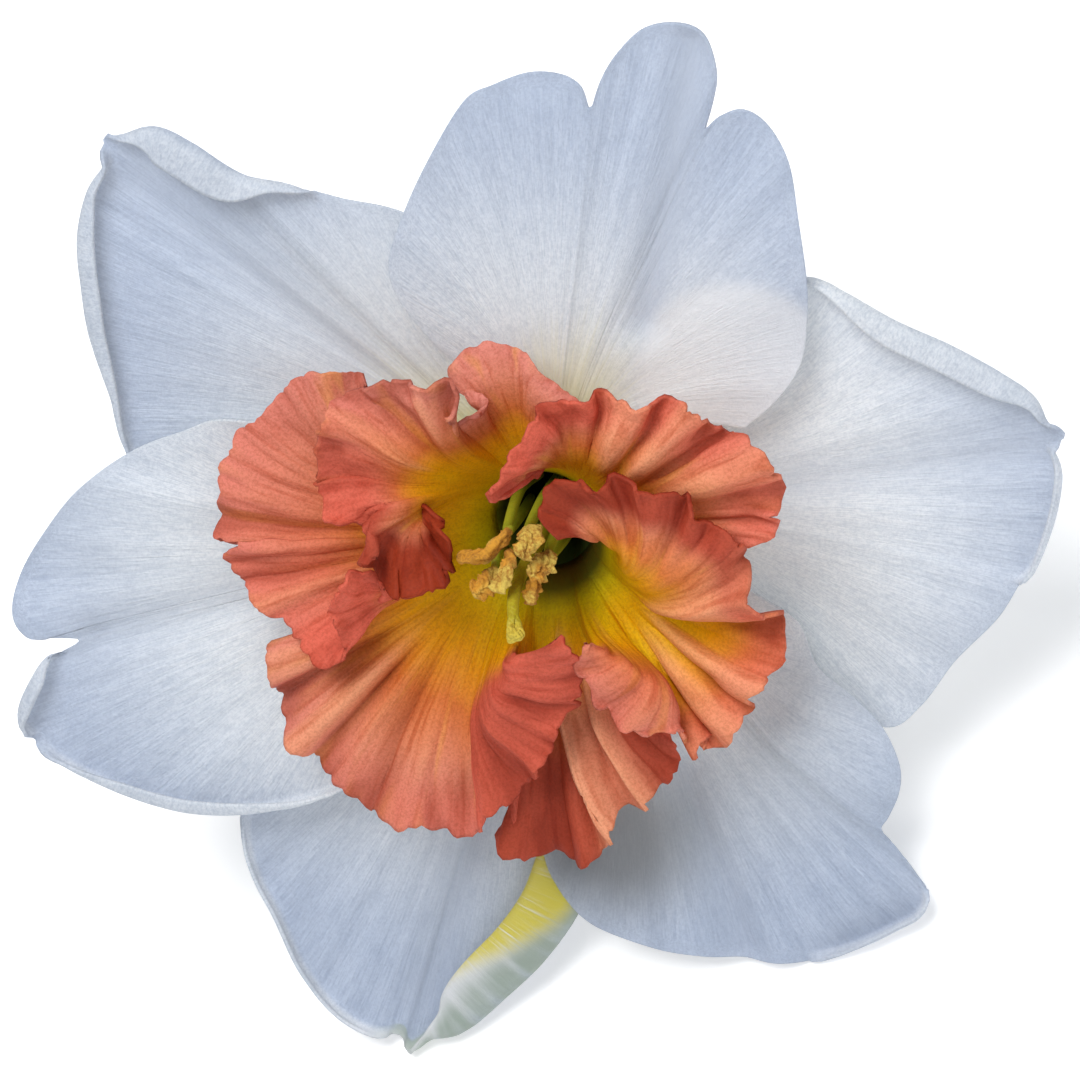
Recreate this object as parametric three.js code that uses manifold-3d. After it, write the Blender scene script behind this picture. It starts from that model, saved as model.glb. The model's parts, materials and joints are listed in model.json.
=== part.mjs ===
// A daffodil flower with white tepals and a frilled pink corona, picked with a short stem.
// It lies face up: two tepals, the bend of the stem and the stem itself touch the surface.
// Millimetres, +Z up. The origin is the middle of the bounding box's base.
//
// The flower is shaped in its own frame first: x to the right and y up on its face, z out of the face,
// with the mouth of the floral tube at the origin. The last lines lay that frame down.

import * as THREE from 'three';
import { ConvexGeometry } from 'three/addons/geometries/ConvexGeometry.js';
import { mergeVertices } from 'three/addons/utils/BufferGeometryUtils.js';
import Module from 'manifold-3d';

const wasm = await Module();
wasm.setup();

// Driving dimensions
const SHEET = 0.6; // thickness of every thin sheet
const GAP = 0.3; // clearance between pieces that touch on the real flower
const TUBE = { length: 24, mouthRadius: 6.2, footRadius: 2.8, wall: 0.9 };
const TEPAL = { rootWidth: 4.6, spread: 13, edgeStrip: 1.5, rollRadius: 1 };
const WHORL = { // radius and height of the roots, and height of the blades over the tube's mouth
  inner: { radius: 6.7, root: -0.9, blade: 0.9 },
  outer: { radius: 6.15, root: -2.7, blade: -2.6 },
};
const VEIN_REACH = 9; // how far the veins of a tepal run straight out of its root before they fan out
const RELIEF = { start: 10, full: 25 }; // distances from the axis where the creases of a tepal set in
const CORONA = { baseRadius: 5.7, baseHeight: 0.7, rimRadius: 26, rimHeight: 11.5 };
const OVARY = { length: 11, radius: 3.9 };
const STEM = { radius: 3.4, wall: 1.1, pedicelRadius: 1.7, length: 46, bend: 7 };
const LEAN = THREE.MathUtils.degToRad(41.25); // angle of the flower's axis from straight up
const ROLL = THREE.MathUtils.degToRad(24.9); // turn of the face, which brings two tepals down to the surface

const COLOURS = {
  tepal: '#e9edf2',
  corona: '#d9694f',
  tube: '#a9b85a',
  ovary: '#6f9440',
  stem: '#7fa24c',
  spathe: '#b79a6a',
  stamen: '#c9a545',
  pistil: '#c3c25a',
};

// Thin sheets

// The unit normal of a grid of points at one row and column.
function gridNormal(grid, row, column, closed) {
  const columns = grid[0].length;
  const before = closed ? (column + columns - 1) % columns : Math.max(column - 1, 0);
  const after = closed ? (column + 1) % columns : Math.min(column + 1, columns - 1);
  const across = new THREE.Vector3().subVectors(grid[row][after], grid[row][before]);
  const lower = grid[Math.max(row - 1, 0)][column];
  const upper = grid[Math.min(row + 1, grid.length - 1)][column];
  return new THREE.Vector3().subVectors(upper, lower).cross(across).normalize();
}

// A closed body from loose corner points and triangles, with its faces turned outwards.
function solid(corners, triangles) {
  let volume = 0;
  for (const [a, b, c] of triangles) {
    const cross = new THREE.Vector3().crossVectors(corners[b], corners[c]);
    volume += corners[a].dot(cross);
  }
  const outward = volume < 0 ? triangles.map(([a, b, c]) => [a, c, b]) : triangles;
  const geometry = new THREE.BufferGeometry().setFromPoints(corners);
  geometry.setIndex(outward.flat());
  geometry.computeVertexNormals();
  return geometry;
}

// The convex solid round a few points.
function wedge(points) {
  const hull = new ConvexGeometry(points);
  hull.deleteAttribute('normal');
  const merged = mergeVertices(hull);
  return new wasm.Manifold(new wasm.Mesh({
    numProp: 3,
    vertProperties: merged.attributes.position.array,
    triVerts: new Uint32Array(merged.index.array),
  }));
}

// A sheet of even thickness on a grid of points. Each triangle of the grid becomes a thin wedge between the
// front and the back of the sheet, and all wedges are joined, so that folds which meet grow together.
function sheet(grid, closed = false) {
  const offset = (side) => grid.map((line, row) => line.map((point, column) => point.clone()
    .addScaledVector(gridNormal(grid, row, column, closed), (side * SHEET) / 2)));
  const front = offset(1);
  const back = offset(-1);
  const columns = grid[0].length;
  const wedges = [];
  for (let row = 0; row < grid.length - 1; row += 1) {
    for (let column = 0; column < (closed ? columns : columns - 1); column += 1) {
      const next = (column + 1) % columns;
      const near = [[row, column], [row, next], [row + 1, next]];
      const far = [[row, column], [row + 1, next], [row + 1, column]];
      [near, far].forEach((triangle) => {
        wedges.push(wedge([front, back].flatMap((face) => triangle.map(([r, c]) => face[r][c]))));
      });
    }
  }
  const shells = wasm.Manifold.union(wedges).decompose();
  const joined = shells.reduce((best, shell) => (shell.volume() > best.volume() ? shell : best));
  const mesh = joined.getMesh();
  const geometry = new THREE.BufferGeometry();
  geometry.setAttribute('position', new THREE.BufferAttribute(mesh.vertProperties.slice(), mesh.numProp));
  geometry.setIndex(new THREE.BufferAttribute(mesh.triVerts.slice(), 1));
  geometry.computeVertexNormals();
  return geometry;
}

// Tepals

const smooth = (x) => {
  const t = THREE.MathUtils.clamp(x, 0, 1);
  return t * t * (3 - 2 * t);
};

// Height that a crease or ridge adds at a point of the face. Its ends fade out.
function creaseHeight({ from, to, height, width }, x, y) {
  const along = new THREE.Vector2(to[0] - from[0], to[1] - from[1]);
  const reach = new THREE.Vector2(x - from[0], y - from[1]);
  const t = THREE.MathUtils.clamp(reach.dot(along) / along.lengthSq(), 0, 1);
  const away = reach.sub(along.multiplyScalar(t)).length();
  return height * Math.exp(-((away / width) ** 2));
}

// How far a roll of the margin has come at a place on the margin, from 0 to 1. A low power makes it even.
function rollAmount({ from, to, power = 0.7 }, place) {
  const t = (place - from) / (to - from);
  return t <= 0 || t >= 1 ? 0 : Math.sin(Math.PI * t) ** power;
}

// A place on a curved vein, which leaves its start along one direction and bends to its end.
function veinPoint(start, direction, end, s) {
  const reach = Math.min(VEIN_REACH, 0.4 * start.distanceTo(end));
  const middle = start.clone().addScaledVector(direction, reach);
  return start.clone().lerp(middle, s).lerp(middle.lerp(end, s), s);
}

// One tepal. The margin is a list of points on the face, from one side of the root round the tip to the
// other. Veins fan out from the root to the margin. A roll turns a stretch of the margin to the front.
function tepal({ whorl, heading, margin, rolls = [], creases = [] }) {
  const angle = THREE.MathUtils.degToRad(90 - heading);
  const out = new THREE.Vector2(Math.cos(angle), Math.sin(angle));
  const side = new THREE.Vector2(-out.y, out.x);
  const { radius, root, blade } = WHORL[whorl];
  const rootPoint = (t) => out.clone().multiplyScalar(radius)
    .addScaledVector(side, TEPAL.rootWidth * (0.5 - t));
  const height = (x, y) => {
    const r = Math.hypot(x, y);
    const rise = smooth((r - radius) / (TEPAL.spread - radius));
    const relief = creases.reduce((sum, crease) => sum + creaseHeight(crease, x, y), 0);
    return root + (blade - root) * rise + relief * smooth((r - RELIEF.start) / (RELIEF.full - RELIEF.start));
  };
  const innerRows = [0, 0.1, 0.28, 0.52, 0.78, 1];
  const stripRows = [0.34, 0.67, 1];
  const grid = [...innerRows, ...stripRows].map(() => []);
  margin.forEach(([x, y], place) => {
    const tip = new THREE.Vector2(x, y);
    const start = rootPoint(place / (margin.length - 1));
    const bend = veinPoint(start, out, tip, 0.9);
    const fan = tip.clone().sub(bend).normalize();
    const next = margin[Math.min(place + 1, margin.length - 1)];
    const last = margin[Math.max(place - 1, 0)];
    const normal = new THREE.Vector2(next[1] - last[1], last[0] - next[0]).normalize();
    normal.multiplyScalar(Math.sign(normal.dot(fan)) || 1);
    const roll = rolls.find((r) => place > r.from && place < r.to);
    const amount = roll ? rollAmount(roll, place) : 0;
    const share = Math.min(1, 1.6 * amount);
    const turn = roll ? THREE.MathUtils.degToRad(roll.turn) * share : 0;
    const rolled = roll ? TEPAL.rollRadius * THREE.MathUtils.degToRad(roll.turn) : 0;
    const flap = roll ? roll.flap * smooth((amount - 0.6) / 0.4) : 0;
    const width = THREE.MathUtils.lerp(TEPAL.edgeStrip, rolled, share) + flap;
    const inset = THREE.MathUtils.lerp(TEPAL.edgeStrip, TEPAL.rollRadius, share);
    const fold = tip.clone().addScaledVector(fan, -inset);
    const direction = fan.clone().lerp(normal, share).normalize();
    innerRows.forEach((s, row) => {
      const p = veinPoint(start, out, fold, s);
      grid[row].push(new THREE.Vector3(p.x, p.y, height(p.x, p.y)));
    });
    stripRows.forEach((s, row) => {
      const run = s * width;
      const curl = Math.min(run / TEPAL.rollRadius, turn);
      const flat = run - curl * TEPAL.rollRadius;
      const sideways = TEPAL.rollRadius * Math.sin(curl) + flat * Math.cos(curl);
      const up = TEPAL.rollRadius * (1 - Math.cos(curl)) + flat * Math.sin(curl);
      const p = fold.clone().addScaledVector(direction, sideways);
      grid[innerRows.length + row].push(new THREE.Vector3(p.x, p.y, height(p.x, p.y) + up));
    });
  });
  return sheet(grid);
}

const TEPALS = {
  top_tepal: {
    whorl: 'inner',
    heading: 10,
    margin: [
      [-7, 15], [-11, 18.2], [-14.5, 22.5], [-15.5, 26], [-14.5, 30], [-12, 36], [-8, 43], [-5, 45],
      [-1.5, 46.5], [1.5, 46.5], [3.6, 45.4], [4.6, 43.2], [5.6, 46], [7, 48.5], [9.5, 51.2], [12.5, 52],
      [15.3, 51], [16.8, 47.5], [16.4, 44.4], [15.8, 41.8], [17.2, 43.2], [19.5, 44], [22, 42.5], [24, 39],
      [25, 33.5], [26, 27], [26, 21.5], [25.3, 18], [23, 14.5], [20, 11.5],
    ],
    creases: [
      { from: [10, 22], to: [14.5, 50], height: -1.4, width: 2.2 },
      { from: [2, 18], to: [0, 42], height: 0.7, width: 4 },
    ],
  },
  right_tepal: {
    whorl: 'outer',
    heading: 79,
    margin: [
      [19, 24], [25.5, 26.6], [29.5, 25.2], [34.5, 22.5], [40, 20.2], [44.5, 18], [48, 15.8], [49.6, 13.4],
      [51.2, 12], [50.2, 10.6], [51, 8], [50.5, 3.5], [49, -1.5], [47.5, -3.7], [45.5, -7.5], [41.5, -12.5],
      [38, -18], [34.5, -20.5], [28, -17.5], [21, -10],
    ],
    rolls: [
      { from: 0.5, to: 7.5, flap: 1.6, turn: 170 },
      { from: 8.6, to: 13, flap: 0.6, turn: 120 },
    ],
    creases: [{ from: [12, 2], to: [46, 10], height: -0.8, width: 3 }],
  },
  lower_right_tepal: {
    whorl: 'inner',
    heading: 136,
    margin: [
      [17, -3], [22.5, -6.3], [26, -8.7], [28, -13], [32, -16], [35, -19], [36.6, -22.5], [36.6, -25.5],
      [35.6, -28.5], [34.9, -30.2], [36.6, -32.4], [38.4, -34.8], [39.8, -37], [39, -39.5], [36.5, -41.5],
      [32.5, -44], [28, -46], [21, -46.7], [15.5, -46.5], [9.5, -45.5], [4.5, -43.5], [1.5, -40],
      [0, -36], [-1, -28],
    ],
    rolls: [{ from: 12, to: 16, flap: 0.8, turn: 120 }],
    creases: [
      { from: [14, -26], to: [21, -45], height: -1.6, width: 2.4 },
      { from: [27, -20], to: [33, -24], height: 2.6, width: 5 },
      { from: [31, -46], to: [38, -42.5], height: -1.2, width: 4 },
    ],
  },
  bottom_tepal: {
    whorl: 'outer',
    heading: 194,
    margin: [
      [7, -28], [4.5, -38], [2.5, -44.5], [-1, -50.2], [-5.5, -55.2], [-9.7, -59.3], [-13.2, -60.6],
      [-15.5, -62.6], [-16.2, -61], [-19, -61], [-23, -58.7], [-26.5, -54], [-29, -48.5], [-31.5, -43.5],
      [-32.5, -38.5], [-32, -33], [-24, -24],
    ],
    rolls: [
      { from: -2, to: 7, flap: 5.2, turn: 176, power: 0.4 },
      { from: 8.5, to: 14.5, flap: 0.5, turn: 120 },
    ],
    creases: [{ from: [-4, -20], to: [-14, -56], height: -1, width: 3 }],
  },
  left_tepal: {
    whorl: 'inner',
    heading: 251,
    margin: [
      [-13, -24], [-22.5, -31.3], [-29, -33.6], [-35, -34.6], [-40, -34.3], [-45, -33], [-50, -31],
      [-54, -28.8], [-55.4, -26], [-53.6, -21.6], [-51.4, -18.8], [-49, -17.1], [-51.5, -16.7],
      [-54.3, -17], [-56, -14.5], [-55, -10], [-52.3, -5.3], [-48.2, 0], [-42.5, 4.4], [-37, 7],
      [-32.5, 8.6], [-24, 8], [-16, 4],
    ],
    rolls: [
      { from: 0.6, to: 7, flap: 1, turn: 165 },
      { from: 7.2, to: 10, flap: 1, turn: 150 },
    ],
    creases: [
      { from: [-18, -6], to: [-47, -16], height: -1.3, width: 2.6 },
      { from: [-25, 2], to: [-46, -4], height: 0.8, width: 4 },
    ],
  },
  upper_left_tepal: {
    whorl: 'outer',
    heading: 314,
    margin: [
      [-24, 0], [-36, -1], [-43.5, 3], [-45.3, 9.5], [-47.2, 16], [-47.8, 21.5], [-48, 26], [-47, 30.5],
      [-45.2, 33.8], [-45.4, 36.2], [-43.3, 36.6], [-40.5, 37.4], [-37, 36], [-32, 33.2], [-26.5, 32.5],
      [-21, 31.4], [-14, 30], [-6, 25],
    ],
    rolls: [
      { from: 1.5, to: 8.6, flap: 1.4, turn: 165 },
      { from: 9.3, to: 14.5, flap: 2.6, turn: 170 },
    ],
    creases: [{ from: [-12, 8], to: [-42, 32], height: -0.8, width: 3 }],
  },
};

// Corona

// The rim, clockwise as seen on the face, in stretches. Each stretch grows from the part of the base ring
// between two angles, in degrees clockwise from the top. Lobes lie out, and folds turn in over the throat.
// A bulge lifts the middle of the sheet, a hook bends its outer part, and frill scales the waves of its rim.
// Pleats are single ridges and grooves that run out to the rim, at places counted in the stretch's points.
const RIM = [
  { // curl
    from: 243, to: 258, bulge: 1, frill: 0.6,
    points: [
      [-20.5, -9.5, 8.8], [-16, -6.4, 10.2], [-13.2, -2.4, 14.6], [-16.2, -1, 16.6], [-18.4, -4.5, 15.8],
      [-17.8, -7.8, 14.6], [-17.4, -10.6, 13.6], [-19.4, -11.8, 13.4], [-21.8, -10.8, 12.2],
    ],
  },
  { // left lobe
    from: 258, to: 283, bulge: -1, frill: 0.5,
    points: [
      [-24, -9, 10.6], [-26.6, -8, 9.6], [-28.6, -6, 9], [-31.2, -3.4, 8.6], [-29.4, -1.5, 9],
      [-31.8, -1.2, 8.4], [-32, 2, 8], [-31, 6.4, 7.6], [-29, 10.3, 7.4], [-26, 13, 7.3], [-23.9, 15.6, 7.2],
      [-20.8, 16.7, 7.2], [-17, 16.7, 7.4],
    ],
    pleats: [
      { at: 1.2, width: 0.5, height: 1, start: 0.4 }, { at: 2.2, width: 0.4, height: -0.7, start: 0.4 },
      { at: 5.6, width: 0.3, height: -0.7, start: 0.35 }, { at: 9.2, width: 0.5, height: -0.5, start: 0.5 },
    ],
  },
  { // fold under the second lobe
    from: 283, to: 295, bulge: -1, frill: 0.3,
    points: [
      [-16.2, 14, 8.4], [-15, 10.8, 9.6], [-11.8, 8, 12],
    ],
  },
  { // second lobe
    from: 295, to: 332, bulge: 5.5, frill: 1,
    points: [
      [-7, 5.2, 15.6], [-5.8, 3.8, 16.4], [-6.4, 2.2, 16.8], [-7.3, 0.6, 17], [-6.6, -1.5, 17],
      [-9, -1.8, 17], [-10.6, -2.7, 17], [-13.2, -0.8, 17], [-15.2, 1, 17], [-14.8, 3.3, 17], [-14.2, 4.8, 16.8],
      [-16.6, 4.6, 16.6], [-18.4, 5, 16.3], [-19.3, 7.6, 15.8], [-19.5, 10.6, 15.4], [-19.1, 14, 15.2],
      [-18.6, 16.2, 15], [-16.2, 17, 15], [-13.7, 18, 15.2], [-11.4, 18.6, 15.4], [-8.9, 19.1, 15.6],
      [-7, 18.4, 15.6], [-6, 16.2, 15],
    ],
    pleats: [
      { at: 2.8, width: 0.6, height: -1.2, start: 0.45 }, { at: 8, width: 0.8, height: 1.2, start: 0.4 },
      { at: 13.5, width: 0.9, height: -1.3, start: 0.3 }, { at: 16, width: 0.8, height: 1.6, start: 0.3 },
      { at: 18.2, width: 0.8, height: -2.2, start: 0.3 }, { at: 20, width: 0.6, height: 1.4, start: 0.4 },
      { at: 21, width: 0.6, height: -1.8, start: 0.4 },
    ],
  },
  { // top lobe
    from: 332, to: 363, bulge: -1, frill: 0.25,
    points: [
      [-6.4, 14.2, 12.8], [-4.8, 14.6, 11.4], [-3.6, 15.6, 9.8], [-4.6, 15.8, 8.2], [-6.8, 15.8, 7],
      [-7.8, 17.4, 6.3], [-6.4, 19.6, 6], [-3.2, 20.7, 6], [-0.7, 19.9, 6.3], [1.4, 17.8, 7.4], [4.2, 17, 9],
    ],
  },
  { // fold under the upper right lobe
    from: 363, to: 377, bulge: -1, frill: 0.3,
    points: [
      [5.6, 14.6, 9.6], [4, 11.4, 11.6],
    ],
  },
  { // upper right lobe
    from: 377, to: 428, bulge: 4, frill: 0.8,
    points: [
      [-0.9, 8.7, 17.8], [-2.2, 9.2, 18.2], [-1.9, 11.4, 18.6], [0, 13.8, 18.4], [2.5, 16.5, 17.6],
      [3.8, 18, 17.2], [6.4, 18.8, 16.4], [8, 18.7, 15.8], [9.6, 19.8, 15.7], [12.2, 19.6, 15.4],
      [14, 18.7, 14.9], [15.4, 19.3, 14.8], [17, 19.3, 14.8], [18.4, 17.4, 14.6], [19.9, 15.4, 13.6],
      [21.6, 15.5, 13.8], [24.4, 14, 13.2], [25.8, 10.4, 12.4], [25.4, 7.2, 12.2], [25.4, 5.4, 12],
      [23.6, 4.2, 12.2],
    ],
    pleats: [
      { at: 3, width: 0.9, height: 1.1, start: 0.5 }, { at: 5.2, width: 0.8, height: -1.3, start: 0.4 },
      { at: 7.2, width: 0.6, height: -0.9, start: 0.4 }, { at: 8.8, width: 0.9, height: 1.1, start: 0.35 },
      { at: 10.6, width: 0.7, height: -0.6, start: 0.35 }, { at: 12.3, width: 0.8, height: 0.9, start: 0.35 },
      { at: 14, width: 0.6, height: -0.7, start: 0.35 }, { at: 16, width: 0.7, height: 0.8, start: 0.4 },
      { at: 18.6, width: 0.4, height: -1.2, start: 0.5 },
    ],
  },
  { // fold under the flap
    from: 428, to: 440, bulge: -1, frill: 0.3,
    points: [
      [20.4, 2.6, 11.2], [14.6, 3, 10.4], [9.4, 3.4, 11.6],
    ],
  },
  { // flap over the throat
    from: 440, to: 474, bulge: 5.5, frill: 0.9,
    points: [
      [3.6, 6.2, 16], [2.9, 8, 16.8], [4, 10, 17.4], [6.6, 11.6, 18.1], [8.9, 11.9, 18.3], [9.8, 11.2, 18.2],
      [11.4, 11.5, 18], [12.9, 10.5, 17.7], [14.8, 10.7, 17.4], [17.2, 8.9, 16.8], [18.8, 7.5, 16.4],
      [20.8, 7.1, 15.9], [22.3, 5.4, 15.2], [22.8, 1.8, 14], [23.6, 0, 13.5],
    ],
    pleats: [
      { at: 13.6, width: 1.2, height: 2, start: 0.3 }, { at: 5.2, width: 0.6, height: -0.9, start: 0.6 },
      { at: 10.4, width: 0.7, height: -1, start: 0.6 },
    ],
  },
  { // right lobe
    from: 474, to: 493, bulge: -2, frill: 0.8,
    points: [
      [25, -2.6, 12.8], [26.5, -6, 12], [26.4, -7.6, 12], [25, -10, 12.2], [23.4, -11.6, 12],
      [22.5, -14.5, 12], [20.6, -18, 11.6], [18.9, -16.6, 12], [18.1, -18.4, 11.4], [16.8, -18.2, 11.6],
    ],
    pleats: [
      { at: 0.6, width: 0.4, height: -1.4, start: 0.6 }, { at: 3.6, width: 0.6, height: 1.5, start: 0.3 },
      { at: 4.6, width: 0.4, height: -1, start: 0.4 }, { at: 5.6, width: 0.6, height: 1, start: 0.3 },
      { at: 7, width: 0.4, height: -1.2, start: 0.5 },
    ],
  },
  { // lower flap
    from: 493, to: 508, bulge: 0, hook: [3.8, 2.6, 3.2], frill: 0.8,
    points: [
      [17.4, -14.8, 13.8], [15.2, -15.6, 15], [12.8, -15.6, 15.2], [10.9, -14.8, 15.2], [9.2, -13.4, 15.3],
      [7.9, -12.2, 15.4], [7.2, -10.4, 15.6], [6.7, -8.4, 15.8], [6.8, -6, 16],
    ],
    pleats: [
      { at: 1.6, width: 0.4, height: -0.7, start: 0.7 }, { at: 4.5, width: 0.4, height: -0.6, start: 0.7 },
    ],
  },
  { // fold under the lower flap
    from: 508, to: 515, bulge: -1, frill: 0.2,
    points: [
      [9, -9.6, 12.6], [13.4, -16, 10.4],
    ],
  },
  { // bottom lobe
    from: 515, to: 537, bulge: -2, frill: 0.8,
    points: [
      [15.8, -20.4, 9.6], [14.4, -22.7, 9.2], [12.9, -24.4, 9], [11.6, -26, 9], [9.6, -26.8, 9.2],
      [9, -29.1, 8.8], [8.2, -31.2, 8.6], [6.6, -32.7, 8.5], [4.8, -33.7, 8.4], [1, -33.2, 8.3],
      [-2.7, -33, 8.2],
    ],
    pleats: [
      { at: 0.8, width: 0.35, height: 1.2, start: 0.5 }, { at: 2.4, width: 0.8, height: 2.2, start: 0.3 },
      { at: 3.6, width: 0.35, height: -1, start: 0.4 }, { at: 4.9, width: 1.2, height: 2.8, start: 0.15 },
      { at: 6.4, width: 0.4, height: -0.8, start: 0.5 }, { at: 8, width: 0.4, height: -0.7, start: 0.5 },
    ],
  },
  { // fold under the tongue
    from: 537, to: 546, bulge: -1, frill: 0.3,
    points: [
      [-0.6, -26, 8.6], [2.6, -18, 10],
    ],
  },
  { // tongue
    from: 546, to: 564, bulge: 2, hook: [-2.2, 0.8, 2], frill: 0.9,
    points: [
      [3.6, -7, 14.8], [5, -5.8, 16], [6.3, -6.8, 15.6], [6.6, -10.1, 15.2], [6.2, -13.6, 14.8],
      [5.2, -15, 14.4], [3.6, -18.3, 14], [2.3, -20.9, 13.4], [0.4, -23.7, 12.8], [-2.3, -27, 11.8],
    ],
    pleats: [
      { at: 4.5, width: 0.35, height: -0.9, start: 0.6 }, { at: 6, width: 0.35, height: -0.9, start: 0.6 },
      { at: 7.6, width: 0.4, height: -0.9, start: 0.6 },
    ],
  },
  { // lower left lobe
    from: 564, to: 603, bulge: 0, frill: 0.7,
    points: [
      [-4.3, -30, 10.3], [-6.4, -31.2, 9.9], [-8.6, -30.6, 9.9], [-11.4, -30.6, 9.7], [-15, -30.2, 9.7],
      [-18.6, -27.8, 9.6], [-21.3, -24.6, 9.7], [-24.1, -22.5, 9.5], [-25.9, -18.6, 9.2], [-26.4, -14.6, 9.1],
      [-25.8, -11.4, 9],
    ],
    pleats: [
      { at: 2.6, width: 0.3, height: -0.6, start: 0.5 }, { at: 4.4, width: 0.35, height: -0.9, start: 0.3 },
      { at: 5.4, width: 0.35, height: 0.8, start: 0.3 }, { at: 6.2, width: 0.4, height: -1.2, start: 0.3 },
      { at: 6.9, width: 0.4, height: 1.2, start: 0.4 }, { at: 8.2, width: 0.4, height: -0.9, start: 0.35 },
    ],
  },
];

const CORONA_COLUMNS = 272;
const CORONA_ROWS = [0, 0.15, 0.31, 0.47, 0.62, 0.76, 0.88, 1];
const PULL = 2.1; // how late on the way out the sheet turns from the plain funnel to its rim
const PLEAT_RISE = 0.4; // share of the way out over which a pleat rises
const STEP = 0.02; // short way along the sheet that gives its slope
const FRILL = [ // waves round the rim, their height, and how late on the way out they set in
  { waves: 43, swing: 0.6, late: 2.2 },
  { waves: 59, swing: 0.55, late: 3 },
  { waves: 83, swing: 0.4, late: 4 },
];
const FRILL_LEAN = 0.4; // share of a wave's height by which it leans along the rim, back and forth
const WAVE_SHIFT = 2.4; // shift of each set of waves against the last, in radians

// A point of the plain funnel at an angle in degrees and a share of the way from base ring to rim.
function funnel(degrees, v) {
  const angle = THREE.MathUtils.degToRad(90 - degrees);
  const radius = CORONA.baseRadius + (CORONA.rimRadius - CORONA.baseRadius) * v ** 1.15;
  const height = CORONA.baseHeight + (CORONA.rimHeight - CORONA.baseHeight) * (1 - (1 - v) ** 1.8);
  return new THREE.Vector3(radius * Math.cos(angle), radius * Math.sin(angle), height);
}

// What the sheet needs to know at each of its columns, which are evenly spaced round the rim.
function coronaColumns() {
  const knots = [];
  const pleats = [];
  RIM.forEach((stretch) => {
    const { from, to, bulge, hook = [0, 0, 0], frill, points } = stretch;
    (stretch.pleats ?? []).forEach((pleat) => pleats.push({ ...pleat, at: knots.length + pleat.at }));
    points.forEach((point, i) => {
      const part = (i + 0.5) / points.length;
      const fade = Math.sqrt(Math.sin(Math.PI * part));
      knots.push({
        point: new THREE.Vector3(...point),
        degrees: THREE.MathUtils.lerp(from, to, part),
        bulge: bulge * fade,
        hook: new THREE.Vector3(...hook).multiplyScalar(fade),
        frill,
      });
    });
  });
  const total = knots.length;
  const curve = new THREE.CatmullRomCurve3(knots.map(({ point }) => point), true, 'catmullrom', 0.5);
  curve.arcLengthDivisions = 24 * total;
  const rimPoint = (place) => curve.getPoint(((place + total) % total) / total);
  return Array.from({ length: CORONA_COLUMNS }, (_, i) => {
    const place = curve.getUtoTmapping(i / CORONA_COLUMNS) * total;
    const first = Math.floor(place);
    const share = place - first;
    const here = knots[first % total];
    const there = knots[(first + 1) % total];
    const fullTurn = first + 1 === total ? 360 : 0;
    return {
      rim: rimPoint(place),
      along: rimPoint(place + 0.2).sub(rimPoint(place - 0.2)).normalize(),
      degrees: THREE.MathUtils.lerp(here.degrees, there.degrees + fullTurn, share),
      bulge: THREE.MathUtils.lerp(here.bulge, there.bulge, share),
      hook: here.hook.clone().lerp(there.hook, share),
      frill: THREE.MathUtils.lerp(here.frill, there.frill, share),
      pleats: pleats.map(({ at, width, height, start }) => {
        const away = ((place - at + 1.5 * total) % total) - total / 2;
        return { start, height: height * Math.exp(-((away / width) ** 2)) };
      }),
    };
  });
}

// The corona: the funnel, drawn towards the rim more and more on the way out, then pleated and frilled.
function corona() {
  const smoothPoint = ({ degrees, rim, bulge, hook }, v) => {
    const spot = funnel(degrees, v);
    spot.addScaledVector(rim.clone().sub(funnel(degrees, 1)), v ** PULL);
    spot.z += bulge * Math.sin(Math.PI * v) ** 2;
    return spot.addScaledVector(hook, Math.sin(Math.PI * v * v) ** 2);
  };
  const columns = coronaColumns();
  const grid = CORONA_ROWS.map((v) => columns.map((column, i) => {
    const { along, frill, pleats } = column;
    const spot = smoothPoint(column, v);
    const before = smoothPoint(column, Math.max(v - STEP, 0));
    const after = smoothPoint(column, Math.min(v + STEP, 1));
    const normal = along.clone().cross(after.sub(before)).normalize();
    const pleated = (pleat) => pleat.height * smooth((v - pleat.start) / PLEAT_RISE);
    let height = pleats.reduce((sum, pleat) => sum + pleated(pleat), 0);
    FRILL.forEach(({ waves, swing, late }, number) => {
      const phase = (2 * Math.PI * waves * i) / columns.length + WAVE_SHIFT * number;
      const reach = frill * swing * v ** late;
      height += reach * Math.sin(phase);
      spot.addScaledVector(along, -FRILL_LEAN * reach * Math.sin(2 * phase));
    });
    return spot.addScaledVector(normal, height);
  }));
  return sheet(grid, true);
}

// Round pieces

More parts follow.
